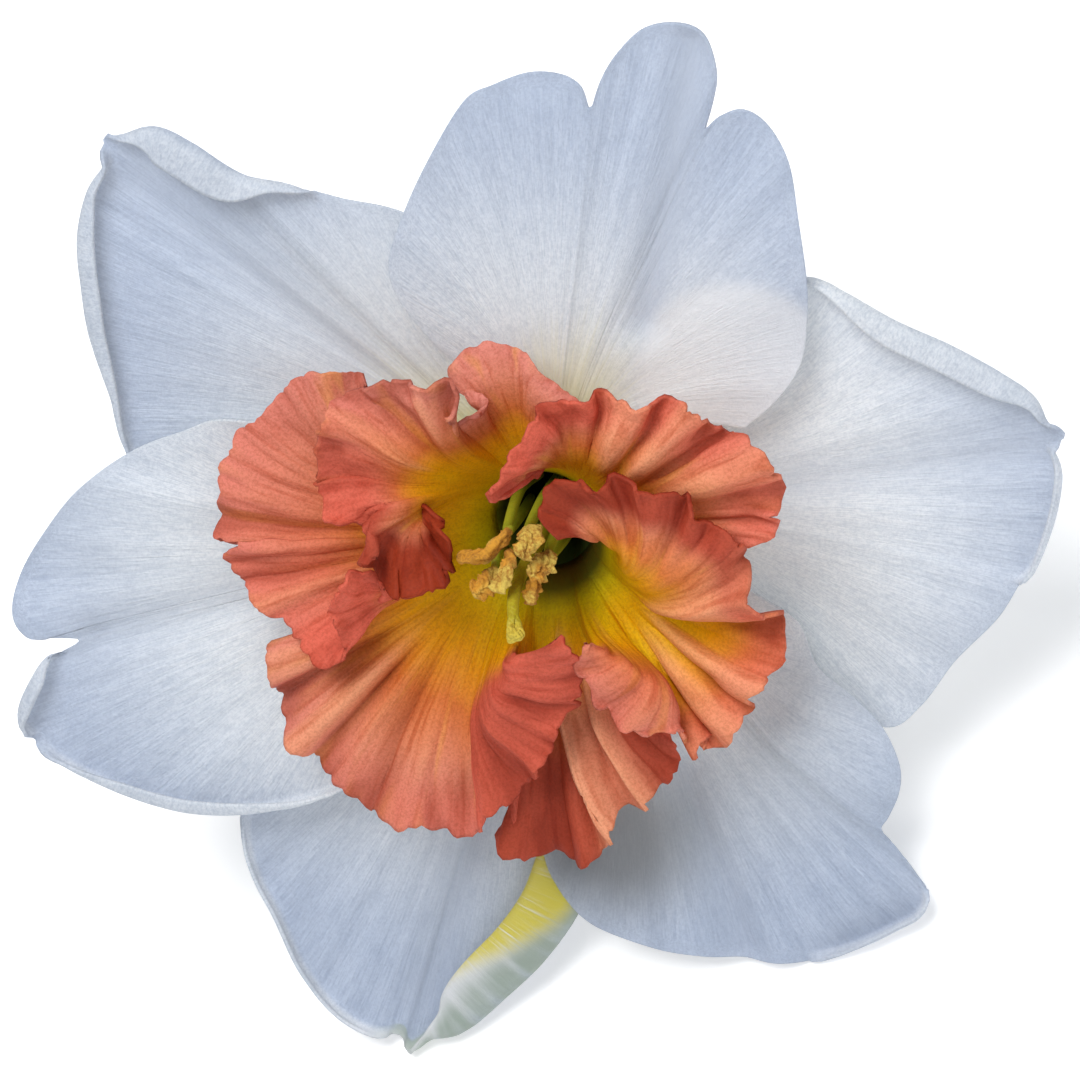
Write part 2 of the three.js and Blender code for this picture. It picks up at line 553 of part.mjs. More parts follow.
// A body swept along a path. Stations are pairs of the share of the way along the path and the radius there.
// A radius of 0 at either end closes the body, and otherwise its profile closes on itself.
function sweep({ path, stations, sides = 12, sideways = [1, 0, 0], section = () => [1, 1] }) {
  const curve = new THREE.CatmullRomCurve3(path.map((p) => new THREE.Vector3(...p)), false, 'centripetal');
  const ring = (t, radius) => {
    const centre = curve.getPoint(t);
    const tangent = curve.getTangent(t);
    const first = new THREE.Vector3(...sideways).projectOnPlane(tangent).normalize();
    const second = new THREE.Vector3().crossVectors(tangent, first);
    return Array.from({ length: sides }, (_, i) => {
      const angle = (2 * Math.PI * i) / sides;
      const [wide, deep] = section(angle, t);
      return centre.clone()
        .addScaledVector(first, radius * wide * Math.cos(angle))
        .addScaledVector(second, radius * deep * Math.sin(angle));
    });
  };
  const open = stations.filter(([, radius]) => radius > 0);
  const corners = open.flatMap(([t, radius]) => ring(t, radius));
  const triangles = [];
  const rings = open.length;
  const capped = open.length < stations.length;
  const at = (r, i) => (r % rings) * sides + (i % sides);
  for (let r = 0; r < (capped ? rings - 1 : rings); r += 1) {
    for (let i = 0; i < sides; i += 1) {
      triangles.push([at(r, i), at(r, i + 1), at(r + 1, i + 1)], [at(r, i), at(r + 1, i + 1), at(r + 1, i)]);
    }
  }
  if (capped) {
    const start = corners.push(curve.getPoint(stations[0][0])) - 1;
    const end = corners.push(curve.getPoint(stations[stations.length - 1][0])) - 1;
    for (let i = 0; i < sides; i += 1) {
      triangles.push([start, at(0, i + 1), at(0, i)], [end, at(rings - 1, i), at(rings - 1, i + 1)]);
    }
  }
  return solid(corners, triangles);
}

// The floral tube, open at the mouth and at the foot.
function floralTube() {
  const { length, mouthRadius, footRadius, wall } = TUBE;
  const outer = [[0, mouthRadius], [0.12, 5.5], [0.35, 4.6], [0.7, 3.4], [1, footRadius]];
  const inner = [...outer].reverse().map(([t, radius]) => [t, radius - wall]);
  const path = [[0, 0, 0], [0, 0, -length / 2], [0, 0, -length]];
  return sweep({ path, stations: [...outer, ...inner], sides: 18 });
}

const ovaryTop = -TUBE.length - GAP;
const ovaryFoot = ovaryTop - OVARY.length;

// The ovary, with three low lobes.
function ovary() {
  const lobed = (angle) => {
    const swell = 1 + 0.06 * Math.cos(3 * angle);
    return [swell, swell];
  };
  const shape = [[0, 0], [0, 2.7], [0.12, 3.2], [0.4, OVARY.radius], [0.75, 3.3], [1, 1.9], [1, 0]];
  const path = [[0, 0, ovaryTop], [0, 0, (ovaryTop + ovaryFoot) / 2], [0, 0, ovaryFoot]];
  return sweep({ path, stations: shape, sides: 15, section: lobed });
}

// The direction in which the stem leaves the bend, level once the flower is laid down.
const stemWay = new THREE.Vector2(-Math.cos(ROLL), -Math.sin(ROLL));

// The stem: the thin stalk of the ovary, the bend, and the hollow scape down to its cut end.
function stem() {
  const start = ovaryFoot - GAP;
  const low = start - STEM.bend;
  const along = (distance, z) => [stemWay.x * distance, stemWay.y * distance, z];
  const path = [along(0, start), along(0.3, start - 3), along(2.6, low + 0.8), along(7, low), along(14, low),
    along(STEM.length * 0.6, low), along(STEM.length, low)];
  const outer = [[0, 1.5], [1 / 6, STEM.pedicelRadius], [0.33, 2.7], [0.5, STEM.radius], [0.67, STEM.radius],
    [0.83, STEM.radius], [1, STEM.radius]];
  const inner = [[1, STEM.radius - STEM.wall], [0.72, STEM.radius - STEM.wall]];
  const stations = [[0, 0], ...outer, ...inner, [0.68, 0]];
  return sweep({ path, stations, sides: 12, sideways: [stemWay.y, -stemWay.x, 0.01] });
}

// Stamens and pistil

// Where each stamen leaves the tube's wall, bends, and carries its anther.
const STAMENS = [
  {
    foot: [-1.9, 2.2],
    way: [[-2.5, 3.1, 0], [-1.2, 3.8, 12]],
    anther: [[-0.5, 4.5, 14.6], [-2.6, 2.2, 15.4], [-5.5, 1.6, 15.5]],
  },
  {
    foot: [0.4, 2.9],
    way: [[0, 2.7, 0], [1, 4.2, 12]],
    anther: [[1.5, 4.8, 14.6], [1.9, 4.5, 16.5], [1.3, 3, 17.8]],
  },
  {
    foot: [2.7, 1.1],
    way: [[2.1, 1, 0], [2.8, 1.7, 11]],
    anther: [[3.2, 2, 13.6], [3, 1.5, 15.4], [2, 0.9, 17]],
  },
  {
    foot: [-2.9, -0.4],
    way: [[-2.5, 0.3, 0], [-2.6, 0.9, 10]],
    anther: [[-2.1, 0.1, 14], [-2.6, -1, 15.8], [-3.9, -1.6, 16.3]],
  },
  {
    foot: [1.8, -2.3],
    way: [[2.1, -1.7, 0], [2, -0.6, 10]],
    anther: [[2.1, -0.2, 12.8], [2, -0.9, 14.4], [1.6, -2.6, 15.8]],
  },
  {
    foot: [-1.4, -2.5],
    way: [[-1.7, -1.9, 0], [-1.5, -0.2, 10]],
    anther: [[-0.6, 1.6, 14], [-0.3, 1.4, 16.4], [-0.9, -0.6, 18.2]],
  },
];
const STAMEN_FOOT = -7; // height of the place where the filaments leave the wall

// A stamen: a thin filament that ends in a curved anther.
function stamen({ foot, way, anther }) {
  const path = [[...foot, STAMEN_FOOT], ...way, ...anther];
  const stations = [[0, 0], [0, 0.4], [0.2, 0.55], [0.4, 0.5], [0.58, 0.4], [0.65, 0.7], [0.8, 0.8],
    [0.94, 0.7], [1, 0.35], [1, 0]];
  return sweep({ path, stations, sides: 8, sideways: [0.3, 1, 0.1] });
}

// The pistil: the style from the ovary's top, and the stigma with three blunt lobes.
function pistil() {
  const path = [
    [0, 0, ovaryTop + GAP], [0, 0, -12], [0.1, -0.9, 0], [0.1, -1, 10], [0.3, -1.6, 16.4], [1.5, -3.9, 21.6],
  ];
  const stigma = 0.93; // share of the way along the pistil where the stigma starts
  const lobed = (angle, t) => {
    const swell = t > stigma ? 1 + 0.25 * Math.cos(3 * angle) : 1;
    return [swell, swell];
  };
  const stations = [
    [0, 0], [0, 0.9], [0.3, 0.8], [0.6, 0.7], [0.86, 0.58], [0.93, 0.6], [0.975, 0.75], [1, 0.5], [1, 0],
  ];
  return sweep({ path, stations, sides: 12, section: lobed });
}

// The spathe: a papery sheath that starts on the scape's upper end and runs on past the bend.
function spathe() {
  const low = ovaryFoot - GAP - STEM.bend;
  const rows = [ // distance along the stem, radius, and half of the angle that the sheath wraps
    [9, 4.1, 80], [5, 4.2, 80], [1, 4.4, 58], [-3, 4.8, 56], [-8, 5.2, 40], [-12, 5.4, 18], [-14, 5.6, 4],
  ];
  const columns = [-1, -0.6, -0.2, 0.2, 0.6, 1];
  const back = new THREE.Vector3(stemWay.y, -stemWay.x, 0);
  const grid = rows.map(([distance, radius, half]) => columns.map((share) => {
    const angle = THREE.MathUtils.degToRad(half * share);
    return new THREE.Vector3(stemWay.x * distance, stemWay.y * distance, low + radius * Math.sin(angle))
      .addScaledVector(back, radius * Math.cos(angle));
  }));
  return sheet(grid);
}

// The flower, put together and laid down

const flower = new THREE.Group();

function add(name, geometry, colour, roughness = 0.6) {
  const material = new THREE.MeshStandardMaterial({ color: colour, roughness, metalness: 0 });
  const mesh = new THREE.Mesh(geometry, material);
  mesh.name = name;
  flower.add(mesh);
}

Object.entries(TEPALS).forEach(([name, shape]) => add(name, tepal(shape), COLOURS.tepal));
add('corona', corona(), COLOURS.corona);
add('floral_tube', floralTube(), COLOURS.tube);
add('ovary', ovary(), COLOURS.ovary);
add('stem', stem(), COLOURS.stem);
add('spathe', spathe(), COLOURS.spathe, 0.8);
STAMENS.forEach((shape, i) => add(`stamen_${i + 1}`, stamen(shape), COLOURS.stamen, 0.8));
add('pistil', pistil(), COLOURS.pistil);

flower.rotation.set(LEAN, 0, -ROLL, 'XYZ');
flower.updateMatrixWorld(true);
const box = new THREE.Box3().setFromObject(flower, true);
flower.position.set(-(box.min.x + box.max.x) / 2, -(box.min.y + box.max.y) / 2, -box.min.z);

export default flower;
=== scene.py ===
# %% [markdown]
# # A daffodil flower, dressed over its solids
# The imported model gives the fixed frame: six tepals, a ruffled corona, the floral tube with six stamens and a
# pistil, the ovary, a bent stem and the papery spathe. They are plain faceted solids. This lesson gives each
# of them a finer mesh of the same form, with plaits, crinkles and a frilled rim, and a procedural finish.

# %% The frame
import json
import math
from collections import namedtuple

import bpy
from mathutils import Matrix, Vector, noise


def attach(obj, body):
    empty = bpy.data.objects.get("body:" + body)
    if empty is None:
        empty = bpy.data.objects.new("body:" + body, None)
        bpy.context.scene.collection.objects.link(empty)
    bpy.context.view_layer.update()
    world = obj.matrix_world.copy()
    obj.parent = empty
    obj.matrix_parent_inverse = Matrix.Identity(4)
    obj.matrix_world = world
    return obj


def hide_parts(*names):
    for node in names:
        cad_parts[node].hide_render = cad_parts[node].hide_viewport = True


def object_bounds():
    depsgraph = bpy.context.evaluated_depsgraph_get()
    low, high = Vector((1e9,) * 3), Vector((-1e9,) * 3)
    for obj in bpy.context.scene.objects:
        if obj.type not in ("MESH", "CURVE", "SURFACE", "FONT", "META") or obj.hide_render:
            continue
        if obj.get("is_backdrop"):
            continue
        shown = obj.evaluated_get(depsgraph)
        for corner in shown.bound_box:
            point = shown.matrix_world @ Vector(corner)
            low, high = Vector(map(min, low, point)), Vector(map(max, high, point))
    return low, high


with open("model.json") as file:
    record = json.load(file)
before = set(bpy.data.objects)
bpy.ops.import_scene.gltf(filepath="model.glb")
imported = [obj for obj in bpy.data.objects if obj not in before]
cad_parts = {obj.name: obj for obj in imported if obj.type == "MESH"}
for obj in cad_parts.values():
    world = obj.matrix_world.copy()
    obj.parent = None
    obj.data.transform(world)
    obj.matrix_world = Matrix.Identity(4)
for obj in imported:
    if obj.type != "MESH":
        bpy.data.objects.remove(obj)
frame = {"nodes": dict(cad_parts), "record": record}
cad_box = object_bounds()
MM = 0.001
print("the solids reach", [round(x / MM, 1) for x in cad_box[1] - cad_box[0]], "mm")

# %% [markdown]
# The flower leans back on its stem, so nothing on it is level. It is much easier to shape it in its own
# frame: x to the right and y up on its face, z out of the face, in millimetres, with the mouth of the floral
# tube at zero. One matrix lays that frame down. Its turns are those of the solids, and its place is read from
# the tube's own solid: the middle of its round mouth.

# %% The flower's own frame
LEAN = math.radians(41.25)
ROLL = math.radians(24.9)
TURN = Matrix.Rotation(LEAN, 4, "X") @ Matrix.Rotation(-ROLL, 4, "Z")

tube_points = [TURN.inverted() @ vertex.co for vertex in frame["nodes"]["floral_tube"].data.vertices]
mouth = Vector((
    (min(p.x for p in tube_points) + max(p.x for p in tube_points)) / 2,
    (min(p.y for p in tube_points) + max(p.y for p in tube_points)) / 2,
    max(p.z for p in tube_points),
))
FACE = Matrix.Translation(TURN @ mouth) @ TURN @ Matrix.Scale(MM, 4)
print("the tube's mouth lies at", [round(x / MM, 1) for x in TURN @ mouth], "mm")

# %% [markdown]
# The photograph looks down on the flower's face, from a little above and to the right of its axis. At the
# face, ten pixels are one millimetre. The camera stands 450 mm away, so the lens follows from the two.

# %% The camera
PICTURE = 1080
PIXELS_PER_MM = 10
DISTANCE = 450
SENSOR = 36
FRAMING = (0.5, 2.0)  # how far right and up the tube's mouth lies from the picture's middle

back = Vector((0.19, 0.37, 0.91)).normalized()
right = Vector((0, 1, 0)).cross(back).normalized()
up = back.cross(right)
eye = back * DISTANCE - right * FRAMING[0] - up * FRAMING[1]

bpy.ops.object.camera_add()
camera = bpy.context.object
camera.data.sensor_width = SENSOR
camera.data.lens = DISTANCE * PIXELS_PER_MM * SENSOR / PICTURE
camera.data.clip_start = 0.01
axes = [(TURN.to_3x3() @ axis) for axis in (right, up, back)]
camera.matrix_world = Matrix.Translation(FACE @ eye) @ Matrix(axes).transposed().to_4x4()
bpy.context.scene.camera = camera
print("the lens is", round(camera.data.lens), "mm")

# %% [markdown]
# Petals are sheets, so each one starts as a flat grid. A formula then sends every point of the grid to its
# place: u runs along the sheet's margin and v from its root to its edge. The grid's own UV map keeps u and v,
# and the finishes read it to run their veins along the petal. A ring closes on itself and is merged at its
# seam.

# %% A grid that takes a shape
PIECE_OF = {}
SEAM = 0.002  # points that lie closer than this at a ring's seam are one point


def select_only(piece):
    bpy.ops.object.select_all(action="DESELECT")
    piece.select_set(True)
    bpy.context.view_layer.objects.active = piece


def shaped_grid(name, columns, rows, place, ring=False, paints=None):
    """A grid whose points go to place(u, v), in millimetres in the flower's own frame.

    A paint is an amount at each point, worked out from u, v and that place. A finish reads it by its name.
    """
    bpy.ops.object.select_all(action="DESELECT")
    bpy.ops.mesh.primitive_grid_add(x_subdivisions=columns - 1, y_subdivisions=rows - 1, size=1)
    piece = bpy.context.object
    piece.name = name
    paints = paints or {}
    for paint in paints:
        piece.data.attributes.new(paint, "FLOAT", "POINT")
    for vertex in piece.data.vertices:
        u, v = vertex.co.x + 0.5, vertex.co.y + 0.5
        spot = Vector(place(u, v))
        vertex.co = FACE @ spot
        for paint, amount in paints.items():
            piece.data.attributes[paint].data[vertex.index].value = amount(u, v, spot)
    if ring:
        bpy.ops.object.mode_set(mode="EDIT")
        bpy.ops.mesh.select_all(action="SELECT")
        bpy.ops.mesh.remove_doubles(threshold=SEAM * MM)
        bpy.ops.object.mode_set(mode="OBJECT")
    bpy.ops.object.shade_smooth()
    return piece


def thicken(piece, thickness):
    """Gives a sheet its thickness, half to each side."""
    select_only(piece)
    wall = piece.modifiers.new("wall", "SOLIDIFY")
    wall.thickness = thickness * MM
    wall.offset = 0
    bpy.ops.object.modifier_apply(modifier=wall.name)


# %% [markdown]
# Smooth curves through a few listed points give every outline. A Catmull-Rom curve passes through each
# point, so a point is simply put where the edge of the real petal runs.

# %% Curves through points
def smooth(x):
    t = min(max(x, 0), 1)
    return t * t * (3 - 2 * t)


def mix(a, b, t):
    return a + (b - a) * t


def curve_point(points, place, ring=False):
    """A point of the smooth curve, at a place that counts the points passed."""
    count = len(points)
    first = math.floor(place) if ring else min(math.floor(place), count - 2)
    t = place - first

    def at(i):
        return Vector(points[i % count] if ring else points[min(max(i, 0), count - 1)])

    p0, p1, p2, p3 = at(first - 1), at(first), at(first + 1), at(first + 2)
    square, cube = 2 * p0 - 5 * p1 + 4 * p2 - p3, 3 * p1 - p0 - 3 * p2 + p3
    return 0.5 * (2 * p1 + (p2 - p0) * t + square * t ** 2 + cube * t ** 3)


def even_places(points, steps, ring=False):
    """Places along the curve that lie evenly spaced on it, with the length reached at each."""
    samples = 24 * len(points)
    last = len(points) if ring else len(points) - 1
    places = [last * i / samples for i in range(samples + 1)]
    reached = [0]
    for a, b in zip(places, places[1:]):
        step = curve_point(points, b, ring) - curve_point(points, a, ring)
        reached.append(reached[-1] + step.length)
    even, i = [], 0
    for k in range(steps + 1):
        goal = reached[-1] * k / steps
        while i < samples - 1 and reached[i + 1] < goal:
            i += 1
        part = (goal - reached[i]) / max(reached[i + 1] - reached[i], 1e-9)
        even.append((mix(places[i], places[i + 1], min(part, 1)), goal))
    return even


def ripple(x, y, seed):
    """Smooth random height from -1 to 1."""
    return noise.noise(Vector((x, y, 17.3 * seed)))


# %% [markdown]
# A tepal is drawn by its margin, from one side of the narrow root round the tip to the other. Curved veins
# fan out from the root to the margin, as they do in the real petal, and they are the columns of its grid. In
# a stretch where the margin is rolled over to the front, the outer strip turns round a small radius instead
# of lying flat. Long shallow plaits between the veins and a slow wave of the edge keep the sheet from looking
# cut out of card.

# %% The tepal's shape
TEPAL = {"root_width": 4.6, "spread": 13, "edge_strip": 1.5, "roll_radius": 0.95, "thickness": 0.4}
WHORL = {
    "inner": {"radius": 6.7, "root": -0.9, "blade": 0.9},
    "outer": {"radius": 6.15, "root": -2.7, "blade": -2.6},
}
Roll = namedtuple("Roll", "start end flap turn power", defaults=[0.7])
# A crease's grey is how strong the painted shade along it is.
Crease = namedtuple("Crease", "start end height width grey", defaults=[0])
VEIN_REACH = 9
TEPAL_GRID = {"columns": 230, "rows": 60}
BLADE_SHARE = 0.8  # the share of the rows that lie on the blade, inside the strip at the margin
RELIEF = {"start": 10, "full": 25}  # distances from the axis where the creases set in
PAINTED_SHADE = {"reach": 27, "on_roll": 0.35}  # how slowly painted bluish shade sets in, and its share on a rolled margin


def unpainted(u, v, spot):
    return 0


Tepal = namedtuple("Tepal", "whorl heading haze margin rolls creases dull bright dusk yellow",
                   defaults=[(), ()] + [unpainted] * 4)


def crease_amount(crease, x, y):
    (x0, y0), (x1, y1) = crease.start, crease.end
    dx, dy = x1 - x0, y1 - y0
    t = min(max(((x - x0) * dx + (y - y0) * dy) / (dx * dx + dy * dy), 0), 1)
    away = math.hypot(x - x0 - dx * t, y - y0 - dy * t)
    return math.exp(-((away / crease.width) ** 2))


def roll_amount(roll, place):
    t = (place - roll.start) / (roll.end - roll.start)
    return 0 if t <= 0 or t >= 1 else math.sin(math.pi * t) ** roll.power


def vein_point(start, direction, end, s):
    middle = start + direction * min(VEIN_REACH, 0.4 * (end - start).length)
    return start.lerp(middle, s).lerp(middle.lerp(end, s), s)


def tepal_columns(shape, count):
    """What a tepal's formula needs to know about each of its veins."""
    margin = shape.margin
    angle = math.radians(90 - shape.heading)
    out = Vector((math.cos(angle), math.sin(angle)))
    side = Vector((-out.y, out.x))
    whorl = WHORL[shape.whorl]
    columns = []
    for place, reached in even_places(margin, count):
        tip = curve_point(margin, place)
        ahead = curve_point(margin, min(place + 0.25, len(margin) - 1))
        behind = curve_point(margin, max(place - 0.25, 0))
        share = place / (len(margin) - 1)
        start = out * whorl["radius"] + side * TEPAL["root_width"] * (0.5 - share)
        fan = (tip - vein_point(start, out, tip, 0.9)).normalized()
        normal = Vector((ahead.y - behind.y, behind.x - ahead.x)).normalized()
        if normal.dot(fan) < 0:
            normal = -normal
        roll = next((r for r in shape.rolls if r.start < place < r.end), None)
        amount = roll_amount(roll, place) if roll else 0
        turned = min(1, 1.6 * amount)
        full = math.radians(roll.turn) if roll else 0
        flap = roll.flap * smooth((amount - 0.6) / 0.4) if roll else 0
        columns.append({
            "start": start,
            "out": out,
            "share": share,
            "reached": reached,
            "fold": tip - fan * mix(TEPAL["edge_strip"], TEPAL["roll_radius"], turned),
            "direction": fan.lerp(normal, turned).normalized(),
            "width": mix(TEPAL["edge_strip"], TEPAL["roll_radius"] * full, turned) + flap,
            "turn": full * turned,
            "free": 1 - turned,
        })
    return columns


# %% The tepal's surface
PLAITS = ((9, 0.5, 0.32), (34, 0.9, 0.10), (90, 1.6, 0.03))  # how many across, how long, how high
EDGE_WAVE = {"length": 7, "height": 0.55}


def tepal_height(shape, x, y):
    whorl = WHORL[shape.whorl]
    r = math.hypot(x, y)
    rise = smooth((r - whorl["radius"]) / (TEPAL["spread"] - whorl["radius"]))
    relief = sum(crease.height * crease_amount(crease, x, y) for crease in shape.creases)
    set_in = smooth((r - RELIEF["start"]) / (RELIEF["full"] - RELIEF["start"]))
    return whorl["root"] + (whorl["blade"] - whorl["root"]) * rise + relief * set_in


def tepal(name, shape, seed):
    """The fine mesh of one tepal."""
    count, rows = TEPAL_GRID["columns"], TEPAL_GRID["rows"]
    columns = tepal_columns(shape, count - 1)

    def place(u, v):
        column = columns[round(u * (count - 1))]
        s = min(v / BLADE_SHARE, 1)
        spot = vein_point(column["start"], column["out"], column["fold"], s)
        lift = 0
        if v > BLADE_SHARE:
            run = column["width"] * (v - BLADE_SHARE) / (1 - BLADE_SHARE)
            radius = TEPAL["roll_radius"]
            curl = min(run / radius, column["turn"])
            flat = run - curl * radius
            spot = spot + column["direction"] * (radius * math.sin(curl) + flat * math.cos(curl))
            lift = radius * (1 - math.cos(curl)) + flat * math.sin(curl)
        z = tepal_height(shape, spot.x, spot.y) + lift
        body = smooth(s * 1.6)
        z += body * sum(high * ripple(across * column["share"], long * v, seed + i)
                        for i, (across, long, high) in enumerate(PLAITS))
        wave = ripple(column["reached"] / EDGE_WAVE["length"], v, seed + 7)
        z += EDGE_WAVE["height"] * wave * smooth((s - 0.6) / 0.4) * column["free"]
        return spot.x, spot.y, z

    def far(u, v, spot):
        """Painted bluish shade that grows away from the axis, less on a margin that is rolled over."""
        rolled = (1 - columns[round(u * (count - 1))]["free"]) * smooth((v - 0.82) / 0.08)
        haze = smooth((math.hypot(spot.x, spot.y) - shape.haze) / PAINTED_SHADE["reach"])
        return haze * (1 - (1 - PAINTED_SHADE["on_roll"]) * rolled)

    def shade(u, v, spot):
        return sum(crease.grey * crease_amount(crease, spot.x, spot.y) for crease in shape.creases)

    # All these paints but yellow are painted shade and painted highlights; yellow is the flap's own colour.
    piece = shaped_grid(name, count, rows, place, paints={
        "far": far, "shade": shade, "dull": shape.dull, "bright": shape.bright, "dusk": shape.dusk,
        "yellow": shape.yellow})
    thicken(piece, TEPAL["thickness"])
    return piece


# %% [markdown]
# The six outlines follow the real flower, one by one: three-lobed, notched, pointed or folded over. Places on
# a margin are counted in its points, so a roll that runs from 0.4 to 6.8 starts just past the first point. A
# heading is the direction of the root, in degrees clockwise from the top of the face, and the number after it
# is the distance from the axis at which the painted bluish shade begins.

# %% The six tepals
def round_patch(x, y, amount, radius, soft):
    """A round patch of a paint, that strong within its radius, with a soft edge outside it."""
    return lambda u, v, spot: amount - amount * smooth((math.hypot(spot.x - x, spot.y - y) - radius) / soft)


TEPALS = {
    "top_tepal": Tepal(whorl="inner", heading=10, haze=17, margin=[
        (-7, 15), (-11, 18.2), (-14.5, 22.5), (-15.5, 26), (-14.5, 30), (-12, 36), (-8, 43), (-5, 45),
        (-1.5, 46.5), (1.5, 46.5), (3.6, 45.4), (4.6, 43.2), (5.6, 46), (7, 48.5), (9.5, 51.2), (12.5, 52),
        (15.3, 51), (16.8, 47.5), (16.4, 44.4), (15.8, 41.8), (17.2, 43.2), (19.5, 44), (22, 42.5), (24, 39),
        (25, 33.5), (26, 27), (26, 21.5), (25.3, 18), (23, 14.5), (20, 11.5),
    ], creases=[
        Crease((10, 22), (14.5, 50), height=-1.4, width=2.2, grey=1),
        Crease((2, 18), (0, 42), height=0.7, width=4),
    # a painted highlight where the right tepal lies behind this one
    ], bright=round_patch(19.5, 16.5, 0.55, 9, 2.2)),
    "right_tepal": Tepal(whorl="outer", heading=79, haze=28, margin=[
        (19, 24), (25.5, 26.6), (29.5, 25.2), (34.5, 22.5), (40, 20.2), (44.5, 18), (48, 15.8), (49.6, 13.4),
        (51.2, 12), (50.2, 10.6), (51, 8), (50.5, 3.5), (49, -1.5), (47.5, -3.7), (45.5, -7.5), (41.5, -12.5),
        (38, -18), (34.5, -20.5), (28, -17.5), (21, -10),
    ], rolls=[
        Roll(0.5, 7.5, flap=1.6, turn=170),
        Roll(8.6, 13, flap=0.6, turn=120),
    ], creases=[Crease((12, 2), (46, 10), height=-0.8, width=3, grey=0.5)]),
    "lower_right_tepal": Tepal(whorl="inner", heading=136, haze=22, margin=[
        (17, -3), (22.5, -6.3), (26, -8.7), (28, -13), (32, -16), (35, -19), (36.6, -22.5), (36.6, -25.5),
        (35.6, -28.5), (34.9, -30.2), (36.6, -32.4), (38.4, -34.8), (39.8, -37), (39, -39.5), (36.5, -41.5),
        (32.5, -44), (28, -46), (21, -46.7), (15.5, -46.5), (9.5, -45.5), (4.5, -43.5), (1.5, -40), (0, -36),
        (-1, -28),
    ], rolls=[Roll(12, 16, flap=0.8, turn=120)], creases=[
        Crease((14, -26), (21, -45), height=-1.6, width=2.4, grey=0.5),
        Crease((27, -20), (33, -24), height=2.6, width=5),
        Crease((31, -46), (38, -42.5), height=-1.2, width=4, grey=0.7),
    # a painted shadow of the corona, beside its bottom lobe
    ], dusk=round_patch(7, -34, 0.75, 3, 10)),
    "bottom_tepal": Tepal(whorl="outer", heading=194, haze=29, margin=[
        (7, -28), (4.5, -38), (2.5, -44.5), (-1, -50.2), (-5.5, -55.2), (-9.7, -59.3), (-13.2, -60.6),
        (-15.5, -62.6), (-16.2, -61), (-19, -61), (-23, -58.7), (-26.5, -54), (-29, -48.5), (-31.5, -43.5),
        (-32.5, -38.5), (-32, -33), (-24, -24),
    ], rolls=[
        Roll(-2, 7, flap=5.2, turn=176, power=0.4),
        Roll(8.5, 14.5, flap=0.5, turn=120),
    ], creases=[Crease((-4, -20), (-14, -56), height=-1, width=3, grey=0.7)],
       yellow=lambda u, v, spot: smooth((0.38 - u - 1.2 * (1 - v)) / 0.08) * smooth((v - 0.84) / 0.05),
       # a painted highlight along the flap's free edge, so that the flap looks raised
       bright=lambda u, v, spot: 0.8 * smooth((v - 0.85) / 0.1) * smooth((0.6 - u) / 0.15),
       # a greenish grey painted shade towards the flap's outer fold
       dull=lambda u, v, spot: (
           smooth((v - 0.81) / 0.04) * smooth((0.9 + 0.3 * u - v) / 0.09) * smooth((0.53 - u) / 0.06))),
    "left_tepal": Tepal(whorl="inner", heading=251, haze=31, margin=[
        (-13, -24), (-22.5, -31.3), (-29, -33.6), (-35, -34.6), (-40, -34.3), (-45, -33), (-50, -31),
        (-54, -28.8), (-55.4, -26), (-53.6, -21.6), (-51.4, -18.8), (-49, -17.1), (-51.5, -16.7),
        (-54.3, -17), (-56, -14.5), (-55, -10), (-52.3, -5.3), (-48.2, 0), (-42.5, 4.4), (-37, 7),
        (-32.5, 8.6), (-24, 8), (-16, 4),
    ], rolls=[
        Roll(0.6, 7, flap=1, turn=165),
        Roll(7.2, 10, flap=1, turn=150),
    ], creases=[
        Crease((-18, -6), (-47, -16), height=-1.3, width=2.6, grey=0.35),
        Crease((-25, 2), (-46, -4), height=0.8, width=4),
    ]),
    "upper_left_tepal": Tepal(whorl="outer", heading=314, haze=21, margin=[
        (-24, 0), (-36, -1), (-43.5, 3), (-45.3, 9.5), (-47.2, 16), (-47.8, 21.5), (-48, 26), (-47, 30.5),
        (-45.2, 33.8), (-45.4, 36.2), (-43.3, 36.6), (-40.5, 37.4), (-37, 36), (-32, 33.2), (-26.5, 32.5),
        (-21, 31.4), (-14, 30), (-6, 25),
    ], rolls=[
        Roll(1.5, 8.6, flap=1.4, turn=165),
        Roll(9.3, 14.5, flap=2.6, turn=170),
    ], creases=[Crease((-12, 8), (-42, 32), height=-0.8, width=3, grey=0.5)]),
}

for seed, (name, shape) in enumerate(TEPALS.items()):
    PIECE_OF[name] = tepal("petal_" + name, shape, 11 * seed)
print("tepals:", len(TEPALS))
